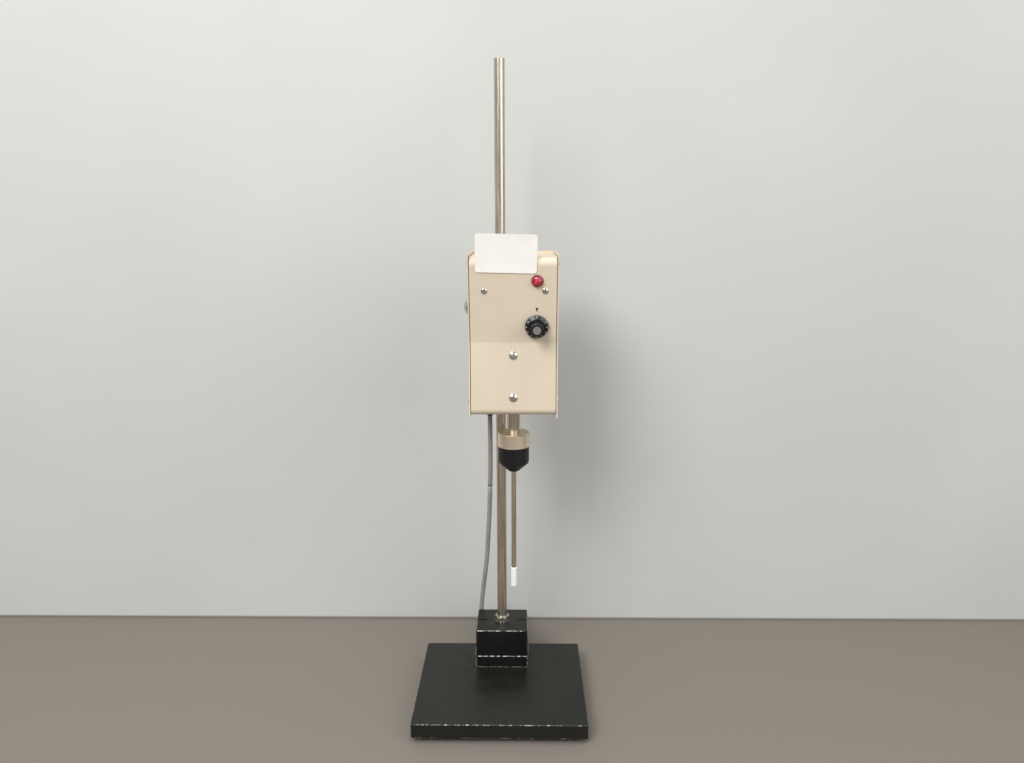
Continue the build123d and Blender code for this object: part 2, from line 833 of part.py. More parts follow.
def jaw_frame(index):
    """Frame on a jaw's axis at its tip: Z runs up and outwards along the jaw."""
    tilt = math.radians(jaw_angle)
    turn = math.radians(120 * index)
    outward = (math.cos(turn), math.sin(turn))
    origin = (
        head_x + jaw_tip_offset * outward[0],
        spindle_y + jaw_tip_offset * outward[1],
        jaw_tip_z,
    )
    direction = (math.sin(tilt) * outward[0], math.sin(tilt) * outward[1], math.cos(tilt))
    return Plane(origin=origin, x_dir=(-outward[1], outward[0], 0), z_dir=direction)


def chuck_cavity():
    """Space inside the sleeve: the jaws' room, and the narrower guide above it."""
    guide_z = 326.5
    inner = sleeve_radius - sleeve_wall
    nose = sleeve_nose_radius - 1.4
    return turned(
        [
            (0, sleeve_nose_z - 1),
            (nose, sleeve_nose_z - 1),
            (nose, sleeve_nose_z + 0.6),
            (inner, sleeve_shoulder_z + 2.2),
            (inner, guide_z),
            (chuck_core_radius + running_gap, guide_z),
            (chuck_core_radius + running_gap, collar_bottom + 1),
            (0, collar_bottom + 1),
        ],
        head_x,
        spindle_y,
    )


def chuck():
    """Keyless chuck: three jaws slide in sloping bores when the sleeve turns on the core."""
    core = turned(
        [
            (0, jaw_tip_z),
            (sleeve_nose_radius - 0.6, jaw_tip_z),
            (chuck_core_radius - 1, sleeve_shoulder_z + 1),
            (chuck_core_radius, sleeve_shoulder_z + 4),
            (chuck_core_radius, collar_top - 1.2),
            (0, collar_top - 1.2),
        ],
        head_x,
        spindle_y,
    )
    core -= post(chuck_bore_radius, jaw_tip_z - 1, pestle_top + 4, head_x, spindle_y)
    core -= post(spindle_radius + 0.02, collar_bottom + 3, collar_top + 1, head_x, spindle_y)
    envelope = turned(
        [
            (0, jaw_tip_z),
            (sleeve_nose_radius - 0.4, jaw_tip_z),
            (sleeve_radius - sleeve_wall - 1.4, sleeve_shoulder_z + 2.6),
            (sleeve_radius - sleeve_wall - 0.5, collar_bottom),
            (0, collar_bottom),
        ],
        head_x,
        spindle_y,
    )
    for index in range(3):
        frame = jaw_frame(index)
        travel = jaw_length + jaw_stroke + 3
        core -= frame * Pos(0, 0, travel / 2 - 3) * Cylinder(jaw_radius + running_gap, travel + 6)
        jaw = frame * Pos(0, 0, jaw_length / 2 - 1) * Cylinder(jaw_radius, jaw_length + 2)
        turn = 120 * index
        half = 60 - 3
        reach = sleeve_radius + 4
        wedge = make_face(
            Polyline(
                (0, 0),
                (reach * math.cos(math.radians(half)), -reach * math.sin(math.radians(half))),
                (reach * 1.6, 0),
                (reach * math.cos(math.radians(half)), reach * math.sin(math.radians(half))),
                close=True,
            )
        )
        sector = extrude(wedge, collar_bottom - jaw_tip_z)
        jaw &= Pos(head_x, spindle_y, jaw_tip_z) * Rot(0, 0, turn) * sector
        jaw &= envelope
        grip = brick((-reach, pestle_radius + 0.02), (-reach, reach), (jaw_tip_z - 1, collar_bottom))
        jaw -= Pos(head_x, spindle_y, 0) * Rot(0, 0, turn) * grip
        save(f"chuck_jaw_{index + 1}", jaw)
    save("chuck_core", core)

    collar = post(collar_radius, collar_bottom, collar_top, head_x, spindle_y)
    collar = chamfer(collar.edges().group_by(Axis.Z)[-1], 0.8)
    collar -= post(chuck_core_radius + 0.02, collar_bottom - 1, collar_top - 1.2, head_x, spindle_y)
    collar -= post(spindle_radius + 0.3, collar_bottom, collar_top + 1, head_x, spindle_y)
    save("chuck_collar", collar)

    sleeve_top = collar_bottom - loose_gap
    sleeve = turned(
        [
            (0, sleeve_nose_z),
            (sleeve_nose_radius, sleeve_nose_z),
            (sleeve_radius - 0.6, sleeve_shoulder_z),
            (sleeve_radius, sleeve_shoulder_z + 2.5),
            (sleeve_radius, sleeve_top),
            (0, sleeve_top),
        ],
        head_x,
        spindle_y,
    )
    sleeve -= chuck_cavity()
    for index in range(24):
        groove = post(0.55, sleeve_shoulder_z + 4, sleeve_top - 2.5, sleeve_radius + 0.15, 0)
        sleeve -= Pos(head_x, spindle_y, 0) * Rot(0, 0, 15 * index) * groove
    save("chuck_sleeve", sleeve)


def pestle():
    """Steel shank gripped by the chuck, with a turned plastic tip."""
    tip_top = tip_bottom + tip_length
    socket_end = tip_top - tip_socket
    shank = post(pestle_radius, socket_end, pestle_top, head_x, spindle_y)
    tip = turned(
        [
            (0, tip_bottom),
            (tip_radius - tip_nose, tip_bottom),
            (tip_radius, tip_bottom + tip_nose),
            (tip_radius, tip_top - tip_shoulder),
            (tip_radius - tip_shoulder, tip_top),
            (0, tip_top),
        ],
        head_x,
        spindle_y,
    )
    tip -= post(pestle_radius, socket_end, tip_top + past, head_x, spindle_y)
    save("pestle_shank", shank)
    save("pestle_tip", tip)


def speed_control():
    """Potentiometer behind the upper face, with the fluted knob on its shaft."""
    place = upper_face * Pos(knob_u, knob_v, 0)
    shaft_low = -sheet - pot_depth / 2
    body = post(pot_radius, -sheet - pot_depth, -sheet)
    body += post(pot_bush_radius - running_gap, -sheet - past, pot_bush_length - sheet)
    body -= post(pot_shaft_radius + running_gap, shaft_low - hole_end, pot_bush_length)
    nut = hexagon(pot_nut_flats, pot_nut_height) - post(pot_bush_radius, -past, pot_nut_height + past)
    save("speed_potentiometer", place * body)
    save("potentiometer_nut", place * nut)

    top = knob_lift + knob_height
    cone_top = knob_lift + knob_cone_height
    shaft_top = top - knob_end_wall
    shell = turned(
        [
            (0, knob_lift),
            (knob_skirt_radius, knob_lift),
            (knob_skirt_radius, knob_lift + knob_skirt_rim),
            (knob_cone_radius, cone_top),
            (knob_radius, cone_top),
            (knob_tip_radius, top - knob_edge),
            (knob_tip_radius - knob_edge, top),
            (0, top),
        ]
    )
    flute = post(knob_flute_radius, cone_top + knob_edge, top + past, knob_radius + knob_flute_radius * 0.35)
    for index in range(knob_flutes):
        shell -= Rot(0, 0, (index + 0.5) * 360 / knob_flutes) * flute
    shell -= post(knob_cap_radius, top - knob_cap_height / 2, top + past)
    shell -= post(pot_shaft_radius + press_gap, knob_lift - past, shaft_top)
    shell -= post(pot_nut_flats * 0.62, knob_lift - past, knob_lift + knob_skirt_rim)
    radial = Pos(0, 0, cone_top + knob_screw_rise) * Rot(0, 90, 0)
    shell -= radial * post(set_screw_radius + screw_gap, pot_shaft_radius, knob_radius + past)
    set_screw = radial * post(set_screw_radius, pot_shaft_radius + press_gap, knob_radius - past)
    cap = post(knob_cap_radius - running_gap, top - knob_cap_height / 2, top + knob_cap_height / 2)
    save("potentiometer_shaft", place * post(pot_shaft_radius, shaft_low, shaft_top))
    save("speed_knob", place * shell)
    save("speed_knob_cap", place * cap)
    save("knob_set_screw", place * set_screw)


def pilot_lamp():
    """Neon lamp: a faceted lens over a body that a nut holds behind the upper face."""
    place = upper_face * Pos(lamp_u, lamp_v, 0)
    body = post(lamp_body_radius - screw_gap, -lamp_body_length, 0)
    nut_outline = RegularPolygon(lamp_nut_flats / math.sqrt(3), 6)
    nut = Pos(0, 0, -sheet - lamp_nut_height) * extrude(nut_outline, lamp_nut_height)
    nut -= post(lamp_body_radius, -lamp_body_length, 0)
    tiers = (
        (lamp_radius, lamp_bezel),
        (lamp_radius * 0.9, lamp_height * 0.45),
        (lamp_radius * 0.62, lamp_height * 0.8),
        (lamp_radius * 0.28, lamp_height),
    )
    lens = post(lamp_radius, 0, lamp_bezel)
    for index, ((low_radius, low), (high_radius, high)) in enumerate(zip(tiers, tiers[1:])):
        turn = Rot(0, 0, 180 / lamp_facets * (index % 2))
        lower = Pos(0, 0, low) * turn * RegularPolygon(low_radius, lamp_facets)
        upper = Pos(0, 0, high) * turn * RegularPolygon(high_radius, lamp_facets)
        lens += loft([lower.face(), upper.face()])
    save("pilot_lamp_body", place * body)
    save("pilot_lamp_nut", place * nut)
    save("pilot_lamp_lens", place * lens)


def control_board():
    """Speed board on two standoffs behind the upper face, with its heat sink."""
    behind = -sheet - board_standoff
    back = behind - board_thickness
    board = Box(board_width, board_height, board_thickness)
    board = upper_face * Pos(0, board_v, (behind + back) / 2) * board
    board -= upper_face * Pos(lamp_u, lamp_v, 0) * post(lamp_body_radius + board_lamp_gap, back - past, 0)
    standoffs = []
    screws = []
    for u in (board_screw_u_left, board_screw_u_right):
        place = upper_face * Pos(u, board_screw_v, 0)
        hole = post(board_screw_radius + screw_gap, back - past, 0)
        board -= place * hole
        standoffs.append(place * (post(standoff_radius, behind, -sheet) - hole))
        screw = pan_screw(board_screw_head, board_screw_head_height, board_screw_radius, past - back)
        screws.append(place * screw)
    sink = Pos(0, 0, back - heat_sink_base / 2) * Box(heat_sink_width, heat_sink_height, heat_sink_base)
    fin = Box(heat_sink_fin, heat_sink_height, heat_sink_depth)
    pitch = (heat_sink_width - heat_sink_fin) / (heat_sink_fins - 1)
    for index in range(heat_sink_fins):
        fin_u = (heat_sink_fin - heat_sink_width) / 2 + index * pitch
        sink += Pos(fin_u, 0, back - heat_sink_depth / 2) * fin
    sink_u = (heat_sink_width - board_width) / 2 + past
    save("control_board", board)
    save("board_standoffs", *standoffs)
    save("board_screws", *screws)
    save("board_heat_sink", upper_face * Pos(sink_u, heat_sink_v, 0) * sink)


def rod_clamp():
    """Clamp block on the rod, screwed to the back, with the stud of the lock knob through its wall."""
    low = clamp_z - clamp_height / 2
    high = clamp_z + clamp_height / 2
    tail_x = (-clamp_tail_width / 2, clamp_tail_width / 2)
    block = post(clamp_radius, low, high, 0, rod_y) + brick(tail_x, (rod_y, chassis_back), (low, high))
    block -= post(rod_radius + screw_gap, low - past, high + past, 0, rod_y)
    along = Pos(0, rod_y, clamp_z) * Rot(0, -90, 0)
    block -= along * post(stud_radius + running_gap, 0, clamp_radius + past)
    screws = []
    screw = pan_screw(clamp_screw_head, clamp_screw_head_height, clamp_screw_radius, clamp_screw_grip)
    for z in clamp_screw_heights():
        place = Pos(0, cover_back, z) * Rot(-90, 0, 0)
        screws.append(place * screw)
        block -= place * post(clamp_screw_radius + screw_gap, -clamp_screw_grip - hole_end, 0)
    save("rod_clamp_block", block)
    save("clamp_screws", *screws)

    knob_in = cover_width / 2 - head_x + loose_gap
    neck_out = knob_in + lock_knob_neck
    rim_out = neck_out + lock_knob_rim
    top = rim_out + lock_knob_dome
    outline = Curve() + [
        Polyline(
            (0, top),
            (0, knob_in),
            (lock_knob_neck_radius, knob_in),
            (lock_knob_neck_radius, neck_out),
            (lock_knob_radius, neck_out),
            (lock_knob_radius, rim_out),
        ),
        ThreePointArc(
            (lock_knob_radius, rim_out),
            dome_middle(lock_knob_radius, rim_out, top),
            (0, top),
        ),
    ]
    knob = revolve(Plane.XZ * make_face(outline), Axis.Z)
    stud_end = knob_in + lock_stud_grip
    knob -= post(stud_radius + press_gap, 0, stud_end)
    save("lock_knob", along * knob)
    save("lock_stud", along * post(stud_radius, rod_radius + loose_gap, stud_end))


def cord_tube(points, name):
    """Round tube on straight runs joined by tangent arcs, each as large as its runs allow."""
    spots = [Vector(*point) for point in points]
    runs = [after - before for before, after in zip(spots, spots[1:])]
    radii = []
    for before, after in zip(runs, runs[1:]):
        half_turn = math.radians(before.get_angle(after)) / 2
        radii.append(0.45 * min(before.length, after.length) / math.tan(half_turn))
    path = FilletPolyline(*points, radius=radii)
    start = Plane(origin=spots[0], z_dir=runs[0])
    tube = sweep(start * Circle(cord_radius), path=path)
    expected = math.pi * cord_radius**2 * path.length
    print(name, "length", round(path.length, 1), "volume ratio", round(tube.volume / expected, 4))
    print("  radii", [round(radius) for radius in radii])
    return tube


# The cord's route: down from the gland, past the block's back to the bench, and into the coil
coil_base = tie_thickness + 0.05
first_layer = coil_base + cord_radius
third_layer = coil_base + cord_diameter * coil_layers[1] + cord_radius
cord_upper_route = [
    (gland_x, gland_y, cord_start_z),
    (gland_x, gland_y, 333.0),
    (-14.9, 77.9, 292.0),
    (-15.7, 79.6, 262.0),
]
cord_lower_route = [
    (-15.7, 79.6, 262.0),
    (-16.5, 81.3, 232.0),
    (-18.9, 85.2, 190.0),
    (-21.3, 89.3, 152.0),
    (-26.0, 94.4, 116.0),
    (-29.9, 97.6, 82.0),
    (-31.0, 98.5, 53.0),
    (-31.1, 98.9, 31.0),
    (-32.1, 107.6, 13.2),
    (-33.6, 121.0, 3.6),
    (-35.3, 142.7, first_layer),
]
cord_tail_route = [
    (-21.0, 174.5, third_layer),
    (-11.2, 181.3, third_layer + 0.1),
    (4.8, 182.4, 23.5),
    (18.9, 175.2, 25.8),
    (26.8, 162.5, 29.8),
    (27.3, 149.5, 33.8),
    (22.06, 138.1, 36.76),
]


def coil_section(radius, low, layers):
    """One column of the coil, from its inner radius."""
    high = low + layers * cord_diameter
    column = post(radius + cord_diameter, low, high, coil_x, coil_y)
    return column - post(radius, low - 1, high + 1, coil_x, coil_y)


def mains_cord():
    """Cord with its gland, and the coil of its spare length with the tie round it."""
    gland = turned(
        [
            (0, cord_start_z),
            (cord_radius + 1.0, cord_start_z),
            (gland_body_radius - 0.6, chassis_bottom - gland_flange - 1.5),
            (gland_flange_radius - 1.0, chassis_bottom - gland_flange),
            (gland_flange_radius, chassis_bottom - gland_flange * 0.5),
            (gland_flange_radius, chassis_bottom),
            (gland_body_radius - screw_gap, chassis_bottom),
            (gland_body_radius - screw_gap, chassis_bottom + sheet + 4),
            (0, chassis_bottom + sheet + 4),
        ],
        gland_x,
        gland_y,
    )
    save("cord_gland", gland)
    save("power_cord_upper", cord_tube(cord_upper_route, "upper cord"))

    inner = coil_mean_radius - cord_diameter
    coil = coil_section(inner, coil_base, coil_layers[0])
    coil += coil_section(coil_mean_radius, coil_base, coil_layers[1])
    lower = cord_tube(cord_lower_route, "lower cord") - coil
    tail = cord_tube(cord_tail_route, "cord tail") - coil - plug_moulding()
    save("power_cord", lower, tail)
    save("cord_coil", coil)

    outer = coil_mean_radius + cord_diameter + 0.1
    inner -= 0.5
    low = tie_thickness
    step = coil_base + coil_layers[1] * cord_diameter + 0.1
    high = coil_base + coil_layers[0] * cord_diameter + 0.1
    hollow = make_face(
        Polyline(
            (inner, low),
            (outer, low),
            (outer, step),
            (coil_mean_radius + 0.1, high),
            (inner, high),
            close=True,
        )
    )
    band = offset(hollow, amount=tie_thickness, kind=Kind.INTERSECTION) - hollow
    tie = extrude(Plane.XZ * band, amount=tie_width / 2, both=True)
    save("coil_tie", Pos(coil_x, coil_y, 0) * Rot(0, 0, tie_angle) * tie)


def plug_frame():
    """Where the plug's mouth is, with Z along the plug."""
    return Pos(*plug_place) * Rot(0, 0, plug_heading) * Rot(0, 90, 0)


def plug_moulding():
    """Body of the plug with the tapered relief that the cord runs into."""
    relief = turned(
        [(0, 0), (cord_radius + 1.2, 0), (cord_radius + 3.2, plug_relief + past), (0, plug_relief + past)]
    )
    body = Pos(0, 0, plug_relief + plug_length / 2) * Box(plug_height, plug_width, plug_length)
    body = fillet(body.edges().filter_by(Axis.Z), plug_height * 0.3)
    body = fillet(body.faces().sort_by(Axis.Z)[0].edges(), 3)
    return plug_frame() * (body + relief)


def power_plug():
    """Plug that lies on the coil, with two blades and a round earth pin."""
    place = plug_frame()
    face = plug_relief + plug_length
    pins = []
    for side in (-1, 1):
        pins.append(
            Pos(-3, side * blade_spacing / 2, face + blade_length / 2)
            * Box(blade_width, blade_thickness, blade_length)
        )
    earth = Pos(earth_pin_offset - 1.5, 0, face) * Cylinder(
        earth_pin_radius, blade_length, align=(Align.CENTER, Align.CENTER, Align.MIN)
    )
    pins.append(earth)
    save("power_plug", plug_moulding())
    save("plug_pins", *[place * pin for pin in pins])


support_stand()
support_rod()
front_chassis()
rear_cover()
cover_screws()
guide_bushes()
bearing_housing()
motor_adapter()
motor()
shaft_coupling()
spindle()
chuck()
pestle()
speed_control()
pilot_lamp()
control_board()
rod_clamp()
mains_cord()
power_plug()
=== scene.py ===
"""Dresses the overhead stirrer: finishes for its solids, and its cord, relief, dial, lamp and card."""
import json
import math

import bpy
import numpy as np
from mathutils import Matrix, Vector


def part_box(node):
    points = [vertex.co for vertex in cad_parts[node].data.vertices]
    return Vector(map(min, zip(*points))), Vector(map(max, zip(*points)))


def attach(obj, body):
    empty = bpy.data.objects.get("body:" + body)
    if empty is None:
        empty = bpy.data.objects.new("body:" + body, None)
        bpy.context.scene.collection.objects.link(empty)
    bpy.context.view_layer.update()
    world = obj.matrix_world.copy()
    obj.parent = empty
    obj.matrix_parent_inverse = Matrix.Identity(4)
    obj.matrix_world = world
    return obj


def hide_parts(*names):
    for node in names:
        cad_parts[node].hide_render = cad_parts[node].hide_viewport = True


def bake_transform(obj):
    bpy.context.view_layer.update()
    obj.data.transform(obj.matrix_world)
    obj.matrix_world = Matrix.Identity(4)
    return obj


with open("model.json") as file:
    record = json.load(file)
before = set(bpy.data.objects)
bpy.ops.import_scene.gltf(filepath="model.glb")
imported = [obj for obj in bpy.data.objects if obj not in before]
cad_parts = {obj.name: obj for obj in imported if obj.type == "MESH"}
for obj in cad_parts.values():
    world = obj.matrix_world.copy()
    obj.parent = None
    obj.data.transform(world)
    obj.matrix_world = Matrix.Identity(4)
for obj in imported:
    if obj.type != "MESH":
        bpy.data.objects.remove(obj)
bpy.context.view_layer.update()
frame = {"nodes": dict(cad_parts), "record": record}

bl_info = {
    "name": "Overhead stirrer",
    "version": (1, 0, 0),
    "blender": (4, 5, 0),
    "location": "View3D > Sidebar > Stirrer",
    "description": "Finishes, cord and small pieces of an overhead stirrer on a rod stand",
    "category": "Object",
}

MM = 0.001

# Places in the frame that the pieces are worked out from
HEAD_X = 16.4 * MM
CREASE = Vector((HEAD_X, -3.0 * MM, 467.5 * MM))
UPPER_LEAN = math.radians(7.5)
COIL_CENTRE = (-1.4 * MM, 146.5 * MM)
COIL_RADII = {"outer": 34.1 * MM, "inner": 27.9 * MM}
FIRST_LAYER = 4.15 * MM
LAYER = 6.2 * MM

# Places on the head's upper face: right of its middle, and up from the crease
KNOB = (27.3 * MM, 20.2 * MM)
LAMP = (27.8 * MM, 73.2 * MM)
INDEX_MARK = (27.5 * MM, 39.6 * MM)
CARD = (-7.7 * MM, 104.6 * MM)
CARD_TURN = math.radians(-1.4)

# The cord's route, in metres: gland to split, split to coil, and coil to plug
UPPER_ROUTE = [
    (-0.0149, 0.0765, 0.3600),
    (-0.0149, 0.0765, 0.3330),
    (-0.0149, 0.0779, 0.2920),
    (-0.0157, 0.0796, 0.2620),
]
LOWER_ROUTE = [
    (-0.0157, 0.0796, 0.2620),
    (-0.0165, 0.0813, 0.2320),
    (-0.0189, 0.0852, 0.1900),
    (-0.0213, 0.0893, 0.1520),
    (-0.0260, 0.0944, 0.1160),
    (-0.0299, 0.0976, 0.0820),
    (-0.0310, 0.0985, 0.0530),
    (-0.0311, 0.0989, 0.0310),
    (-0.0321, 0.1076, 0.0132),
    (-0.0336, 0.1210, 0.0036),
]
TAIL_ROUTE = [
    (-0.0112, 0.1813, 0.02285),
    (0.0048, 0.1824, 0.0235),
    (0.0189, 0.1752, 0.0258),
    (0.0268, 0.1625, 0.0298),
    (0.0273, 0.1495, 0.0338),
    (0.0227, 0.1395, 0.0364),
]

# The stage: how far it reaches, where the wall stands, and between which heights the bench's
# colour gives way to the wall's
STAGE_REACH = 6.0
WALL_Y = 0.2
BENCH_TO_WALL = (0.002, 0.006)

# Name, place in metres, size in metres and power in watts of each light, and where all of them aim
LIGHTS = (
    ("key_light", (-0.9, -1.5, 1.9), 1.0, 42.0),
    ("fill_light", (1.3, -1.2, 1.1), 1.4, 12.0),
    ("top_light", (0.1, 0.0, 2.2), 1.2, 14.0),
)
LIGHT_AIM = Vector((0.0, 0.03, 0.38))
WORLD_STRENGTH = 0.62

# The camera, fitted to the plate's corners and the rod: it looks down by its pitch, and a yaw
# above 0 turns it to the right
CAMERA_PLACE = (0.0265, -0.8921, 0.6089)
CAMERA_PITCH = math.radians(11.93)
CAMERA_YAW = math.radians(-0.75)
CAMERA_ROLL = math.radians(-0.14)
FOCAL_LENGTH = 27.0
SENSOR_WIDTH = 36.0


def face_matrix(u=0.0, v=0.0, out=0.0):
    """Matrix of a spot on the head's upper face: X right, Y up the face and Z out of it."""
    x_axis = Vector((1, 0, 0))
    z_axis = Vector((0, -math.cos(UPPER_LEAN), -math.sin(UPPER_LEAN)))
    y_axis = z_axis.cross(x_axis)
    turn = Matrix((x_axis, y_axis, z_axis)).transposed().to_4x4()
    spot = CREASE + x_axis * u + y_axis * v + z_axis * out
    return Matrix.Translation(spot) @ turn


class StirrerSizes(bpy.types.PropertyGroup):
    """Sizes that a user would change."""

    def length(label, text, millimetres):
        return bpy.props.FloatProperty(
            name=label, description=text, default=millimetres * MM, min=0.0, unit="LENGTH", precision=5
        )

    cord_diameter: length("Cord diameter", "Outer diameter of the mains cord", 6.2)
    card_width: length("Card width", "Width of the bare card", 70.5)
    card_height: length("Card height", "Height of the bare card", 44.0)
    card_corner: length("Card corner", "Radius of the card's corners", 3.2)
    card_thickness: length("Card thickness", "Thickness of the bare card", 0.5)
    digit_height: length("Digit height", "Height of the dial's numbers", 2.1)
    mark_height: length("Index height", "Height of the index mark over the knob", 4.5)
    lens_radius: length("Lens radius", "Radius of the pilot lamp's lens", 7.2)


class StirrerColours(bpy.types.PropertyGroup):
    """Colours that a user would change, as sRGB hex values."""

    def hex_colour(label, text, value):
        return bpy.props.StringProperty(name=label, description=text, default=value, maxlen=6)

    head: hex_colour("Head enamel", "Baked enamel of the head", "D6C7B1")
    plate: hex_colour("Plate enamel", "Wrinkle enamel of the base plate", "12130E")
    block: hex_colour("Block enamel", "Enamel of the rod block", "080807")
    cord: hex_colour("Cord jacket", "Jacket of the mains cord", "9A958F")
    lens: hex_colour("Lamp lens", "Plastic of the pilot lamp's lens", "B8102C")
    card: hex_colour("Card", "Bare card on the head", "F1EDE6")


def sizes():
    return bpy.context.scene.stirrer_sizes


def colours():
    return bpy.context.scene.stirrer_colours


def linear(hex_value):
    """Linear RGBA of an sRGB hex colour."""
    channels = np.array([int(hex_value[i : i + 2], 16) for i in (0, 2, 4)]) / 255.0
    low = channels / 12.92
    high = ((channels + 0.055) / 1.055) ** 2.4
    return (*np.where(channels <= 0.04045, low, high).tolist(), 1.0)


def scaled(hex_value, factor):
    """The linear colour, lighter or darker by a factor."""
    red, green, blue, _ = linear(hex_value)
    return (min(1, red * factor), min(1, green * factor), min(1, blue * factor), 1.0)


def add_node(tree, kind, inputs=None, **settings):
    """Adds a node, sets its properties, and sets or links its inputs."""
    node = tree.nodes.new(kind)
    for name, value in settings.items():
        setattr(node, name, value)
    for name, value in (inputs or {}).items():
        if isinstance(value, bpy.types.NodeSocket):
            tree.links.new(value, node.inputs[name])
        else:
            node.inputs[name].default_value = value
    return node


def blank_material(name, **shader_inputs):
    """A material with a principled shader, and the position on the object in metres."""
    material = bpy.data.materials.new(name)
    material.use_nodes = True
    tree = material.node_tree
    tree.nodes.clear()
    shader = add_node(tree, "ShaderNodeBsdfPrincipled", shader_inputs)
    output = add_node(tree, "ShaderNodeOutputMaterial")
    tree.links.new(shader.outputs["BSDF"], output.inputs["Surface"])
    position = add_node(tree, "ShaderNodeTexCoord").outputs["Object"]
    return material, tree, shader, position


def noise(tree, position, period, detail=3.0, roughness=0.5, stretch=(1, 1, 1)):
    """Noise whose lumps are about one period apart, in metres, drawn out along an axis by stretch."""
    scale = tuple(1 / (period * s) for s in stretch)
    spread = add_node(tree, "ShaderNodeVectorMath", {0: position, 1: scale}, operation="MULTIPLY")
    inputs = {"Vector": spread.outputs[0], "Scale": 1.0, "Detail": detail, "Roughness": roughness}
    return add_node(tree, "ShaderNodeTexNoise", inputs).outputs[0]


def ramp(tree, value, low, high, start=0.0, end=1.0):
    """Value carried from low..high to start..end, clamped, with soft ends."""
    inputs = {"Value": value, "From Min": low, "From Max": high, "To Min": start, "To Max": end}
    return add_node(tree, "ShaderNodeMapRange", inputs, interpolation_type="SMOOTHSTEP").outputs[0]


def maths(tree, operation, first, second=0.0):
    return add_node(tree, "ShaderNodeMath", {0: first, 1: second}, operation=operation).outputs[0]


def mix(tree, factor, first, second):
    """Colour between two colours."""
    node = add_node(tree, "ShaderNodeMix", data_type="RGBA")
    for index, value in ((0, factor), (6, first), (7, second)):
        if isinstance(value, bpy.types.NodeSocket):
            tree.links.new(value, node.inputs[index])
        else:
            node.inputs[index].default_value = value
    return node.outputs[2]


def bump(tree, shader, height, distance, strength=1.0):
    """Bump of the given depth in metres."""
    inputs = {"Height": height, "Distance": distance, "Strength": strength}
    node = add_node(tree, "ShaderNodeBump", inputs)
    tree.links.new(node.outputs[0], shader.inputs["Normal"])


def box_edges(tree, position, low, high):
    """How far, in metres, a point on a box is from the nearest edge: the middle one of its depths.

    The depth along an axis is the distance from the box's middle less half its side, so it is 0
    on a face. On an edge two of the three are 0, so the middle one is 0 there and below 0 inside.
    """
    centre = tuple((a + b) / 2 for a, b in zip(low, high))
    half = tuple((b - a) / 2 for a, b in zip(low, high))
    offset = add_node(tree, "ShaderNodeVectorMath", {0: position, 1: centre}, operation="SUBTRACT")
    size = add_node(tree, "ShaderNodeVectorMath", {0: offset.outputs[0]}, operation="ABSOLUTE")
    depth = add_node(tree, "ShaderNodeVectorMath", {0: size.outputs[0], 1: half}, operation="SUBTRACT")
    x, y, z = add_node(tree, "ShaderNodeSeparateXYZ", {0: depth.outputs[0]}).outputs[:3]
    total = maths(tree, "ADD", maths(tree, "ADD", x, y), z)
    deepest = maths(tree, "MINIMUM", maths(tree, "MINIMUM", x, y), z)
    nearest = maths(tree, "MAXIMUM", maths(tree, "MAXIMUM", x, y), z)
    return maths(tree, "SUBTRACT", maths(tree, "SUBTRACT", total, deepest), nearest)


def wrinkle_enamel(name, colour, boxes, wear=0.5):
    """Black stoving enamel, sprayed to a fine wrinkle, and rubbed to bright metal along the edges.

    The wrinkle, 0.9 mm across, breaks up the gloss. Wear follows the outer edges of the boxes.
    """
    material, tree, shader, position = blank_material(name, Roughness=0.4, IOR=1.5)
    cloud = noise(tree, position, 45 * MM, 4.0)
    grain = noise(tree, position, 0.9 * MM, 2.0)
    dust = noise(tree, position, 7 * MM, 6.0, 0.7)
    body = mix(tree, ramp(tree, cloud, 0.35, 0.7), scaled(colour, 0.8), scaled(colour, 1.25))
    body = mix(tree, ramp(tree, dust, 0.58, 0.78, 0.0, 0.25), body, scaled(colour, 2.4))
    chips = noise(tree, position, 5 * MM, 5.0, 0.75)
    bare = None
    for low, high in boxes:
        edge = box_edges(tree, position, low, high)
        reach = ramp(tree, edge, -1.1 * MM, -0.35 * MM)
        share = maths(tree, "MULTIPLY", reach, ramp(tree, chips, wear, wear + 0.06))
        bare = share if bare is None else maths(tree, "MAXIMUM", bare, share)
    colour_out = mix(tree, bare, body, linear("C9C6BB"))
    tree.links.new(colour_out, shader.inputs["Base Color"])
    tree.links.new(bare, shader.inputs["Metallic"])
    gloss = ramp(tree, noise(tree, position, 22 * MM, 5.0), 0.3, 0.7, 0.34, 0.46)
    tree.links.new(gloss, shader.inputs["Roughness"])
    bump(tree, shader, grain, 0.12 * MM, 0.7)
    return material


def baked_enamel(name, colour):
    """Beige baked enamel on sheet steel: smooth with a faint orange peel, 1.6 mm across.

    Handling leaves it a little darker in patches, with a few small dark scuffs.
    """
    material, tree, shader, position = blank_material(name, Roughness=0.36, IOR=1.5)
    cloud = noise(tree, position, 60 * MM, 3.0)
    peel = noise(tree, position, 1.6 * MM, 2.0)
    specks = noise(tree, position, 2.6 * MM, 6.0, 0.7)
    body = mix(tree, ramp(tree, cloud, 0.3, 0.7), scaled(colour, 0.97), scaled(colour, 1.02))
    body = mix(tree, ramp(tree, specks, 0.73, 0.8, 0.0, 0.5), body, scaled(colour, 0.45))
    tree.links.new(body, shader.inputs["Base Color"])
    gloss = ramp(tree, noise(tree, position, 30 * MM, 4.0), 0.3, 0.7, 0.32, 0.42)
    tree.links.new(gloss, shader.inputs["Roughness"])
    bump(tree, shader, peel, 0.04 * MM, 0.35)
    return material


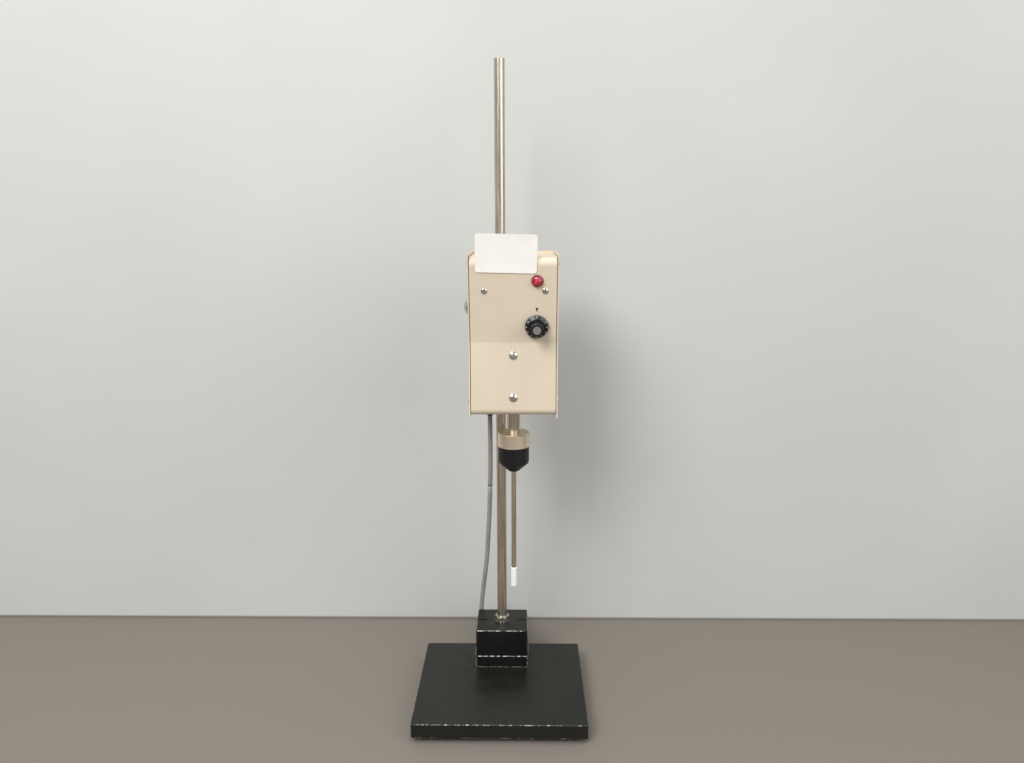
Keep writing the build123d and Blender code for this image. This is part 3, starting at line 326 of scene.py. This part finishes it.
def metal(name, colour, roughness, spread=0.08, grain=(3 * MM, (1, 1, 1)), dark=0.72, depth=0.012):
    """Bare or plated metal. The grain's period and stretch follow how it was finished."""
    material, tree, shader, position = blank_material(name, Metallic=1.0, Roughness=roughness)
    period, stretch = grain
    lines = noise(tree, position, period, 4.0, 0.6, stretch)
    cloud = noise(tree, position, 18 * MM, 4.0, 0.6)
    body = mix(tree, ramp(tree, lines, 0.3, 0.7), scaled(colour, dark), linear(colour))
    body = mix(tree, ramp(tree, cloud, 0.5, 0.8, 0.0, 0.35), body, scaled(colour, 0.6))
    tree.links.new(body, shader.inputs["Base Color"])
    gloss = ramp(tree, lines, 0.25, 0.75, roughness - spread / 2, roughness + spread)
    tree.links.new(gloss, shader.inputs["Roughness"])
    bump(tree, shader, lines, depth * MM, 0.5)
    return material


def plastic(name, colour, roughness, grain=0.8 * MM, depth=0.02, patch=0.08):
    """Moulded plastic or rubber: one colour that varies slightly, with a fine moulded grain."""
    material, tree, shader, position = blank_material(name, Roughness=roughness, IOR=1.48)
    cloud = noise(tree, position, 14 * MM, 4.0, 0.6)
    fine = noise(tree, position, grain, 2.0)
    body = mix(tree, ramp(tree, cloud, 0.3, 0.75), scaled(colour, 1 - patch), scaled(colour, 1 + patch))
    tree.links.new(body, shader.inputs["Base Color"])
    gloss = ramp(tree, cloud, 0.3, 0.7, roughness - 0.05, roughness + 0.07)
    tree.links.new(gloss, shader.inputs["Roughness"])
    bump(tree, shader, fine, depth * MM, 0.5)
    return material


def jewel_plastic(name, colour, place, radius):
    """Cut red acrylic with painted light: painted shade makes it deep at the rim, and a painted glow makes
    it bright in the middle, where the lamp sits behind it.
    """
    material, tree, shader, position = blank_material(name, Roughness=0.08, IOR=1.49)
    inputs = {0: position, 1: tuple(place.translation)}
    away = add_node(tree, "ShaderNodeVectorMath", inputs, operation="DISTANCE").outputs["Value"]
    # Painted light: the rim is painted dark as shade, and the middle is painted bright as the lamp's glow,
    # mottled with a lighter pink.
    share = ramp(tree, away, radius * 0.2, radius * 1.05)
    painted_glow_fleck = noise(tree, position, 1.7 * MM, 1.0)
    inner = mix(tree, ramp(tree, painted_glow_fleck, 0.45, 0.6), linear(colour), linear("E8566E"))
    body = mix(tree, share, inner, scaled(colour, 0.28))
    tree.links.new(body, shader.inputs["Base Color"])
    shader.inputs["Coat Weight"].default_value = 0.6
    shader.inputs["Coat Roughness"].default_value = 0.04
    return material


def card_stock(name, colour):
    """Coated white card: nearly even, with the faintest mottle."""
    return plastic(name, colour, 0.5, 1.2 * MM, 0.01, 0.015)


def printed_ink(name, colour):
    """Screen-printed ink, a little matt."""
    return plastic(name, colour, 0.6, 0.6 * MM, 0.005, 0.05)


def node_box(node):
    low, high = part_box(node)
    return tuple(low), tuple(high)


def cad_materials():
    """One material for each of the record's slots."""
    tint = colours()
    plate_box = node_box("base_plate")
    low, high = node_box("rod_block")
    lip = 1.5 * MM
    foot_top = low[2] + 16 * MM
    # The foot's box runs past the back, so that the flat back face doesn't count as an edge.
    past_back = high[1] + 5 * MM
    block_boxes = [
        ((low[0] + lip, low[1] + lip, low[2]), (high[0] - lip, high[1], high[2])),
        (low, (high[0], past_back, foot_top)),
    ]
    along_z = (1.1 * MM, (1, 1, 60))
    fine = (0.7 * MM, (1, 1, 1))
    turned = (0.5 * MM, (40, 40, 1))
    return {
        "plate_enamel": wrinkle_enamel("wrinkle_enamel_plate", tint.plate, [plate_box], 0.52),
        "block_enamel": wrinkle_enamel("wrinkle_enamel_block", tint.block, block_boxes, 0.46),
        "head_enamel": baked_enamel("baked_enamel_beige", tint.head),
        "rubber": plastic("moulded_rubber_black", "1B1B1B", 0.8, 0.5 * MM, 0.05),
        "zinc": metal("zinc_plate", "C9C4B4", 0.3, 0.1, fine, 0.8),
        "rod_steel": metal("ground_stainless_steel", "DCCFBE", 0.24, 0.12, along_z, 0.62, 0.02),
        "chrome": metal("chrome_plate", "D4D2CC", 0.12, 0.06, (6 * MM, (1, 1, 1)), 0.9, 0.004),
        "satin_nickel": metal("satin_nickel_collar", "F4E4CC", 0.4, 0.1, turned, 0.85, 0.02),
        "black_oxide": plastic("blackened_knurled_sleeve", "0B0B0D", 0.45, 0.6 * MM, 0.03),
        "cast_aluminium": metal("cast_aluminium", "B4B4B0", 0.5, 0.12, fine, 0.85, 0.06),
        "bearing_steel": metal("ground_bearing_steel", "BFC0C2", 0.2, 0.08, turned, 0.85),
        "motor_steel": metal("motor_can_steel", "8A8A8C", 0.38, 0.1, turned, 0.8),
        "copper_wound": metal("enamelled_copper_winding", "A8562C", 0.35, 0.15, turned, 0.5, 0.06),
        "black_plastic": plastic("phenolic_black", "141415", 0.32, 0.7 * MM, 0.015),
        "nylon": plastic("nylon_natural", "DDD8C8", 0.45),
        "white_plastic": plastic("fluoropolymer_white", "F6F4EF", 0.42, 0.5 * MM, 0.015, 0.02),
        # The red lens has the lamp's glow and the rim's shade painted into its colour.
        "red_lens": jewel_plastic("acrylic_red_painted_glow", tint.lens, face_matrix(*LAMP, 4 * MM), sizes().lens_radius),
        "board_laminate": plastic("glass_epoxy_board", "5B6B2A", 0.35),
        "cord_jacket": plastic("vinyl_cord_jacket", tint.cord, 0.5, 0.9 * MM, 0.03, 0.1),
        "brass": metal("rolled_brass", "D2A955", 0.25, 0.08, along_z),
        "bright_aluminium": metal("spun_aluminium", "D8D8D8", 0.25, 0.1, turned, 0.8),
        "spider_rubber": plastic("moulded_rubber_red", "7A2418", 0.6),
    }


def mesh_piece(name, vertices, faces, material, slot, smooth=True):
    """A piece from arrays of vertices and faces, with its material. The slot argument is not used."""
    mesh = bpy.data.meshes.new(name)
    mesh.from_pydata(np.asarray(vertices).reshape(-1, 3).tolist(), [], [list(face) for face in faces])
    mesh.polygons.foreach_set("use_smooth", np.full(len(mesh.polygons), smooth))
    mesh.update()
    mesh.materials.append(material)
    piece = bpy.data.objects.new(name, mesh)
    bpy.context.collection.objects.link(piece)
    return piece


def placed(points, matrix):
    """Points, as rows of an array, carried by a matrix."""
    turn = np.array(matrix)
    return points @ turn[:3, :3].T + turn[:3, 3]


def grid_faces(rows, columns):
    """Quads of a grid of vertices, row by row, whose columns close on themselves."""
    row, column = np.meshgrid(np.arange(rows - 1), np.arange(columns), indexing="ij")
    after = (column + 1) % columns
    quads = (
        row * columns + column,
        row * columns + after,
        (row + 1) * columns + after,
        (row + 1) * columns + column,
    )
    return np.stack(quads, axis=-1).reshape(-1, 4)


def closed_faces(rows, columns):
    """Faces of a closed surface: the grid's quads, and a fan at each end.

    The fans meet in two more vertices, which come after the grid's own.
    """
    column = np.arange(columns)
    after = (column + 1) % columns
    centre = rows * columns
    last_row = centre - columns
    low = np.stack((np.full(columns, centre), after, column), axis=-1)
    high = np.stack((np.full(columns, centre + 1), last_row + column, last_row + after), axis=-1)
    return grid_faces(rows, columns).tolist() + low.tolist() + high.tolist()


def turned_surface(profile, turns, place):
    """Closed surface of revolution about Z: point (r cos a, r sin a, z) for each angle a.

    The profile runs from one point on the axis to the other, and each end is one vertex.
    """
    radius, height = np.array(profile[1:-1]).T
    angle = np.linspace(0, 2 * math.pi, turns, endpoint=False)
    x = radius[:, None] * np.cos(angle)
    y = radius[:, None] * np.sin(angle)
    z = np.broadcast_to(height[:, None], x.shape)
    body = np.stack((x, y, z), axis=-1).reshape(-1, 3)
    ends = np.array([(0, 0, profile[0][1]), (0, 0, profile[-1][1])])
    return placed(np.vstack((body, ends)), place), closed_faces(len(radius), turns)


def swept_tube(path, radius, sides=24):
    """Closed tube about a path: each ring is c + r (cos a n + sin a b), with n and b square to it.

    The frame is carried along the path: n loses its part along the new direction at each step.
    """
    path = np.asarray(path, dtype=float)
    direction = np.gradient(path, axis=0)
    direction /= np.linalg.norm(direction, axis=1, keepdims=True)
    normal = np.empty_like(path)
    side = np.cross(direction[0], (0.0, 1.0, 0.0))
    normal[0] = side / np.linalg.norm(side)
    for step in range(1, len(path)):
        carried = normal[step - 1] - direction[step] * (normal[step - 1] @ direction[step])
        normal[step] = carried / np.linalg.norm(carried)
    binormal = np.cross(direction, normal)
    angle = np.linspace(0, 2 * math.pi, sides, endpoint=False)
    cosine = np.cos(angle)[None, :, None]
    sine = np.sin(angle)[None, :, None]
    rings = path[:, None] + radius * (cosine * normal[:, None] + sine * binormal[:, None])
    vertices = np.vstack((rings.reshape(-1, 3), path[:1], path[-1:]))
    return vertices, closed_faces(len(path), sides)


def spline_path(points, resolution=6):
    """Points along the quadratic NURBS spline that has the given points as its control points."""
    curve = bpy.data.curves.new("cord_line", "CURVE")
    curve.dimensions = "3D"
    curve.resolution_u = resolution
    spline = curve.splines.new("NURBS")
    spline.points.add(len(points) - 1)
    spline.points.foreach_set("co", np.hstack((points, np.ones((len(points), 1)))).ravel())
    spline.order_u = 3
    spline.use_endpoint_u = True
    holder = bpy.data.objects.new("cord_line", curve)
    mesh = bpy.data.meshes.new_from_object(holder)
    path = np.empty(len(mesh.vertices) * 3)
    mesh.vertices.foreach_get("co", path)
    bpy.data.objects.remove(holder)
    bpy.data.curves.remove(curve)
    bpy.data.meshes.remove(mesh)
    return path.reshape(-1, 3)


def coil_points():
    """Control points of the coil's seven turns, clockwise seen from above.

    Each turn keeps its own column and layer for three quarters of its way and moves to the next
    one's in the last quarter. A control point stands out by one over the cosine of half a step,
    so that the spline, which cuts inside, has the turn's real radius.
    """
    columns = ["outer"] + ["inner"] * 4 + ["outer"] * 3
    layers = [0, 0, 1, 2, 3, 1, 2, 3]
    turns = 7
    per_turn = 16
    start = math.radians(186.4)
    end = math.radians(125.1 - 360 * turns)
    step = 2 * math.pi / per_turn
    angle = np.arange(start - step, end, -step)
    travelled = (start - angle) / (2 * math.pi)
    turn = np.minimum(travelled.astype(int), turns)
    share = np.clip((travelled - turn - 0.75) / 0.25, 0, 1)
    share = share * share * (3 - 2 * share)
    radius = np.array([COIL_RADII[column] for column in columns])
    height = FIRST_LAYER + LAYER * np.array(layers)
    after = np.minimum(turn + 1, turns)
    r = radius[turn] * (1 - share) + radius[after] * share
    z = height[turn] * (1 - share) + height[after] * share
    r = r / math.cos(step / 2)
    x = COIL_CENTRE[0] + r * np.cos(angle)
    y = COIL_CENTRE[1] + r * np.sin(angle)
    return np.stack((x, y, z), axis=-1)


def path_length(path):
    return float(np.linalg.norm(np.diff(path, axis=0), axis=1).sum())


class STIRRER_OT_finishes(bpy.types.Operator):
    """Gives every solid the material of its slot"""

    bl_idname = "stirrer.finishes"
    bl_label = "Finishes"

    def execute(self, context):
        materials = cad_materials()
        for part in frame["record"]["subparts"]:
            piece = frame["nodes"][part["node"]]
            material = materials[part["material_slot"]]
            piece.data.materials.clear()
            piece.data.materials.append(material)
        return {"FINISHED"}


class STIRRER_OT_cord(bpy.types.Operator):
    """Makes the mains cord: its part that hangs from the head, and the rest with its coil"""

    bl_idname = "stirrer.cord"
    bl_label = "Mains cord"

    def execute(self, context):
        jacket = bpy.data.materials["vinyl_cord_jacket"]
        diameter = sizes().cord_diameter
        upper_path = spline_path(np.array(UPPER_ROUTE), 10)
        upper = mesh_piece("cord_above", *swept_tube(upper_path, diameter / 2), jacket, "cord_jacket")
        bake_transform(upper)
        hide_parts("power_cord_upper")
        lower_points = np.vstack((np.array(LOWER_ROUTE), coil_points(), np.array(TAIL_ROUTE)))
        lower_path = spline_path(lower_points, 6)
        lower = mesh_piece("cord_below", *swept_tube(lower_path, diameter / 2, 20), jacket, "cord_jacket")
        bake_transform(lower)
        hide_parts("power_cord", "cord_coil")
        print("cord lengths", path_length(upper_path), path_length(lower_path))
        return {"FINISHED"}


class STIRRER_OT_relief(bpy.types.Operator):
    """Makes the ribbed strain relief where the cord leaves the head"""

    bl_idname = "stirrer.relief"
    bl_label = "Strain relief"

    def execute(self, context):
        low, high = node_box("cord_gland")
        panel = 381.0 * MM
        bore = sizes().cord_diameter / 2 + 0.15 * MM
        x, y = UPPER_ROUTE[0][:2]
        ribs = 6
        bottom = low[2]
        step = (panel - 3.5 * MM - bottom) / ribs
        profile = [(0, high[2]), (5.9 * MM, high[2]), (5.9 * MM, panel), (8.0 * MM, panel - 0.2 * MM)]
        profile += [(8.0 * MM, panel - 1.4 * MM), (7.4 * MM, panel - 2.0 * MM), (5.6 * MM, panel - 2.1 * MM)]
        for rib in range(ribs):
            top = panel - 3.5 * MM - rib * step
            outer = (5.6 - 1.5 * rib / ribs) * MM
            neck = outer - 0.9 * MM
            profile += [(outer, top), (outer, top - step * 0.55)]
            profile += [(neck, top - step * 0.62), (neck, top - step * 0.95)]
        profile += [(4.1 * MM, bottom + 0.4 * MM), (bore, bottom), (0, bottom)]
        place = Matrix.Translation((x, y, 0))
        vertices, faces = turned_surface(profile[::-1], 40, place)
        black = bpy.data.materials["phenolic_black"]
        piece = mesh_piece("cord_relief", vertices, faces, black, "black_plastic", smooth=False)
        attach(piece, "head")
        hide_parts("cord_gland")
        return {"FINISHED"}


def text_mesh(name, words, height, thickness):
    """Flat mesh of generic characters about the origin, in the XY plane, as thick as asked."""
    curve = bpy.data.curves.new(name, "FONT")
    curve.body = words
    curve.size = height * 1.38
    curve.align_x = "CENTER"
    curve.align_y = "CENTER"
    curve.extrude = thickness / 2
    curve.resolution_u = 3
    holder = bpy.data.objects.new(name, curve)
    mesh = bpy.data.meshes.new_from_object(holder)
    bpy.data.objects.remove(holder)
    bpy.data.curves.remove(curve)
    return mesh


class STIRRER_OT_dial(bpy.types.Operator):
    """Makes the numbers and ticks on the knob's skirt, and the index mark above it"""

    bl_idname = "stirrer.dial"
    bl_label = "Dial"

    def execute(self, context):
        white = printed_ink("dial_ink_white", "E4E2DC")
        brown = printed_ink("panel_ink_brown", "3B332B")
        # Radius and height of the two ends of the skirt's cone, which carries the marks
        cone_low = (13.7 * MM, 4.4 * MM)
        cone_high = (9.4 * MM, 7.2 * MM)
        slope = math.atan2(cone_high[1] - cone_low[1], cone_low[0] - cone_high[0])
        middle = ((cone_low[0] + cone_high[0]) / 2, (cone_low[1] + cone_high[1]) / 2)
        knob_place = face_matrix(*KNOB)
        vertices = []
        faces = []

        def add_shape(points, polygons, matrix):
            start = len(vertices)
            whole = knob_place @ matrix
            vertices.extend((whole @ Vector(point))[:] for point in points)
            faces.extend([start + index for index in polygon] for polygon in polygons)

        numbers = 10
        sweep = math.radians(300)
        tilt = Matrix.Rotation(-slope, 4, "X")
        for number in range(numbers + 1):
            mesh = text_mesh("digit", str(number), sizes().digit_height, 0.04 * MM)
            turn = Matrix.Rotation(-sweep * number / numbers, 4, "Z")
            spot = Matrix.Translation((0, middle[0] + 0.2 * MM, middle[1] - 0.08 * MM))
            lift = Matrix.Translation((0, 0, 0.05 * MM))
            points = [vertex.co for vertex in mesh.vertices]
            polygons = [polygon.vertices for polygon in mesh.polygons]
            add_shape(points, polygons, turn @ spot @ tilt @ lift)
            bpy.data.meshes.remove(mesh)
        ticks = numbers * 5
        corner = np.array([(-1, -1, -1), (1, -1, -1), (1, 1, -1), (-1, 1, -1)], dtype=float)
        block = np.vstack((corner, corner * (1, 1, -1)))
        sides = [(3, 2, 1, 0), (4, 5, 6, 7), (0, 1, 5, 4), (1, 2, 6, 5), (2, 3, 7, 6), (3, 0, 4, 7)]
        for tick in range(ticks + 1):
            major = tick % 5 == 0
            half = np.array((0.09 * MM, (0.55 if major else 0.32) * MM, 0.03 * MM))
            turn = Matrix.Rotation(-sweep * tick / ticks, 4, "Z")
            spot = Matrix.Translation((0, cone_low[0] - 0.75 * MM, cone_low[1] + 0.49 * MM))
            add_shape(block * half, sides, turn @ spot @ tilt)
        numerals = mesh_piece("dial_numbers", vertices, faces, white, "white_plastic", smooth=False)
        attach(numerals, "speed_knob")

        height = sizes().mark_height
        spot = face_matrix(*INDEX_MARK)
        wide = 1.7 * MM
        narrow = 0.35 * MM
        outline = [(-wide, height / 2), (wide, height / 2), (narrow, -height / 2), (-narrow, -height / 2)]
        lift = 0.06 * MM
        top = [spot @ Vector((x, y, lift)) for x, y in outline]
        base = [spot @ Vector((x, y, -lift)) for x, y in outline]
        rim = [(i, i + 4, (i + 1) % 4 + 4, (i + 1) % 4) for i in range(4)]
        mark_faces = [(3, 2, 1, 0), (4, 5, 6, 7)] + rim
        corners = [point[:] for point in top + base]
        mark = mesh_piece("index_mark", corners, mark_faces, brown, "black_plastic", smooth=False)
        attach(mark, "head")
        return {"FINISHED"}


class STIRRER_OT_card(bpy.types.Operator):
    """Makes the bare white card that stands up from the head's upper face"""

    bl_idname = "stirrer.card"
    bl_label = "Bare card"

    def execute(self, context):
        size = sizes()
        half = (size.card_width / 2, size.card_height / 2)
        corner = size.card_corner
        per_corner = 8
        quarter = np.linspace(0, math.pi / 2, per_corner)
        angle = np.concatenate([quarter + math.pi / 2 * k for k in range(4)])
        sign_x = np.repeat([1, -1, -1, 1], per_corner)
        sign_y = np.repeat([1, 1, -1, -1], per_corner)
        x = sign_x * (half[0] - corner) + corner * np.cos(angle)
        y = sign_y * (half[1] - corner) + corner * np.sin(angle)
        count = len(x)
        # Rings shrink towards the middle, so that the card can bow: z is a parabola across its height
        rings = np.linspace(1.0, 0.0, 12, endpoint=False)
        px = (x[None, :] * rings[:, None]).ravel()
        py = (y[None, :] * rings[:, None]).ravel()
        bow = 0.5 * MM * (py / half[1]) ** 2
        front = np.stack((px, py, bow + size.card_thickness), axis=-1)
        back = np.stack((px, py, bow), axis=-1)
        middle = np.array([(0, 0, size.card_thickness), (0, 0, 0)])
        flat = np.vstack((front, back, middle))
        total = len(px)
        quads = grid_faces(len(rings), count)
        faces = quads.tolist() + (quads[:, ::-1] + total).tolist()
        column = np.arange(count)
        after = (column + 1) % count
        inner = (len(rings) - 1) * count
        front_middle = np.full(count, 2 * total)
        back_middle = front_middle + 1
        faces += np.stack((inner + column, inner + after, front_middle), axis=-1).tolist()
        faces += np.stack((total + inner + after, total + inner + column, back_middle), axis=-1).tolist()
        faces += np.stack((column + total, after + total, after, column), axis=-1).tolist()
        vertices = placed(flat, face_matrix(*CARD, 0.1 * MM) @ Matrix.Rotation(CARD_TURN, 4, "Z"))
        stock = card_stock("coated_card", colours().card)
        piece = mesh_piece("bare_card", vertices, faces, stock, "white_plastic", smooth=False)
        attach(piece, "head")
        return {"FINISHED"}


class STIRRER_OT_lamp(bpy.types.Operator):
    """Makes the cut jewel of the pilot lamp"""

    bl_idname = "stirrer.lamp"
    bl_label = "Pilot lamp"

    def execute(self, context):
        radius = sizes().lens_radius
        facets = 12
        tiers = [(1.0, 0.0), (1.0, 1.2), (0.93, 2.5), (0.76, 4.1), (0.5, 5.4), (0.2, 6.1)]
        rows = []
        for index, (share, height) in enumerate(tiers):
            offset = math.pi / facets * (index % 2) if index > 1 else 0.0
            angle = np.linspace(0, 2 * math.pi, facets, endpoint=False) + offset
            r = radius * share
            level = np.full(facets, height * MM)
            rows.append(np.stack((r * np.cos(angle), r * np.sin(angle), level), axis=-1))
        points = np.vstack(rows + [np.array([(0, 0, 0), (0, 0, 6.3 * MM)])])
        faces = []
        for row in range(len(tiers) - 1):
            for column in range(facets):
                low = row * facets + column
                low_next = row * facets + (column + 1) % facets
                high = (row + 1) * facets + column
                high_next = (row + 1) * facets + (column + 1) % facets
                if row == 0:
                    faces.append((low, low_next, high_next, high))
                elif row % 2:
                    faces += [(low, low_next, high), (low_next, high_next, high)]
                else:
                    faces += [(low, high_next, high), (low, low_next, high_next)]
        last = (len(tiers) - 1) * facets
        for column in range(facets):
            after = (column + 1) % facets
            faces.append((after, column, len(points) - 2))
            faces.append((last + column, last + after, len(points) - 1))
        vertices = placed(points, face_matrix(*LAMP))
        # This material has the lamp's glow and the rim's shade painted into its colour.
        red = bpy.data.materials["acrylic_red_painted_glow"]
        piece = mesh_piece("pilot_jewel", vertices, faces, red, "red_lens", smooth=False)
        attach(piece, "head")
        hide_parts("pilot_lamp_lens")
        return {"FINISHED"}


class STIRRER_OT_stage(bpy.types.Operator):
    """Makes the bench, the wall, the lights and the camera"""

    bl_idname = "stirrer.stage"
    bl_label = "Stage"

    def execute(self, context):
        scene = context.scene
        scene.view_settings.view_transform = "Standard"
        reach = STAGE_REACH
        bench = [(-reach, -reach, 0), (reach, -reach, 0), (reach, reach, 0), (-reach, reach, 0)]
        wall = [(-reach, WALL_Y, 0), (reach, WALL_Y, 0), (reach, WALL_Y, reach), (-reach, WALL_Y, reach)]
        mesh = bpy.data.meshes.new("bench_and_wall")
        mesh.from_pydata(bench + wall, [], [(0, 1, 2, 3), (4, 5, 6, 7)])
        material, tree, shader, position = blank_material("bench_and_wall", Roughness=0.7)
        mottle = ramp(tree, noise(tree, position, 0.4, 2.0), 0.3, 0.7)
        wall_colour = mix(tree, mottle, linear("C3C4C0"), linear("C9C9C5"))
        height = add_node(tree, "ShaderNodeSeparateXYZ", {0: position}).outputs[2]
        colour = mix(tree, ramp(tree, height, *BENCH_TO_WALL), linear("7D766D"), wall_colour)
        tree.links.new(colour, shader.inputs["Base Color"])
        # The wall is clear from behind, so that the stirrer's back can be seen too.
        clear = add_node(tree, "ShaderNodeBsdfTransparent").outputs["BSDF"]
        behind = add_node(tree, "ShaderNodeNewGeometry").outputs["Backfacing"]
        surface = add_node(tree, "ShaderNodeMixShader", {0: behind, 1: shader.outputs["BSDF"], 2: clear})
        tree.links.new(surface.outputs[0], tree.get_output_node("ALL").inputs["Surface"])
        mesh.materials.append(material)
        bench_and_wall = bpy.data.objects.new("bench_and_wall", mesh)
        context.collection.objects.link(bench_and_wall)

        world = bpy.data.worlds.new("studio_world")
        scene.world = world
        world.use_nodes = True
        background = world.node_tree.nodes["Background"]
        background.inputs["Color"].default_value = linear("E8EAEC")
        background.inputs["Strength"].default_value = WORLD_STRENGTH
        for name, spot, size, power in LIGHTS:
            data = bpy.data.lights.new(name, "AREA")
            data.size = size
            data.energy = power
            light = bpy.data.objects.new(name, data)
            context.collection.objects.link(light)
            light.location = spot
            aim = LIGHT_AIM - light.location
            light.rotation_euler = aim.to_track_quat("-Z", "Y").to_euler()

        level = math.cos(CAMERA_PITCH)
        sideways = math.sin(CAMERA_YAW) * level
        ahead = math.cos(CAMERA_YAW) * level
        forward = Vector((sideways, ahead, -math.sin(CAMERA_PITCH)))
        right = forward.cross(Vector((0, 0, 1))).normalized()
        up = right.cross(forward)
        rolled_right = right * math.cos(CAMERA_ROLL) + up * math.sin(CAMERA_ROLL)
        rolled_up = up * math.cos(CAMERA_ROLL) - right * math.sin(CAMERA_ROLL)
        data = bpy.data.cameras.new("photo_view")
        data.sensor_width = SENSOR_WIDTH
        data.lens = FOCAL_LENGTH
        data.clip_start = 0.01
        camera = bpy.data.objects.new("photo_view", data)
        context.collection.objects.link(camera)
        turn_matrix = Matrix((rolled_right, rolled_up, -forward)).transposed().to_4x4()
        camera.matrix_world = Matrix.Translation(CAMERA_PLACE) @ turn_matrix
        scene.camera = camera
        return {"FINISHED"}


class STIRRER_PT_panel(bpy.types.Panel):
    """Lists the sizes, the colours and the operators"""

    bl_idname = "STIRRER_PT_panel"
    bl_label = "Overhead stirrer"
    bl_space_type = "VIEW_3D"
    bl_region_type = "UI"
    bl_category = "Stirrer"

    def draw(self, context):
        column = self.layout.column()
        for group in (context.scene.stirrer_sizes, context.scene.stirrer_colours):
            for name in group.bl_rna.properties.keys():
                if name not in ("rna_type", "name"):
                    column.prop(group, name)
        for operator in OPERATORS:
            column.operator(operator.bl_idname)


OPERATORS = (
    STIRRER_OT_finishes,
    STIRRER_OT_relief,
    STIRRER_OT_cord,
    STIRRER_OT_dial,
    STIRRER_OT_card,
    STIRRER_OT_lamp,
    STIRRER_OT_stage,
)
CLASSES = (StirrerSizes, StirrerColours, *OPERATORS, STIRRER_PT_panel)


def register():
    for item in CLASSES:
        bpy.utils.register_class(item)
    bpy.types.Scene.stirrer_sizes = bpy.props.PointerProperty(type=StirrerSizes)
    bpy.types.Scene.stirrer_colours = bpy.props.PointerProperty(type=StirrerColours)


def unregister():
    del bpy.types.Scene.stirrer_colours
    del bpy.types.Scene.stirrer_sizes
    for item in reversed(CLASSES):
        bpy.utils.unregister_class(item)


def main():
    register()
    bpy.ops.stirrer.finishes()
    bpy.ops.stirrer.relief()
    bpy.ops.stirrer.cord()
    bpy.ops.stirrer.dial()
    bpy.ops.stirrer.card()
    bpy.ops.stirrer.lamp()
    bpy.ops.stirrer.stage()


if __name__ == "__main__":
    main()
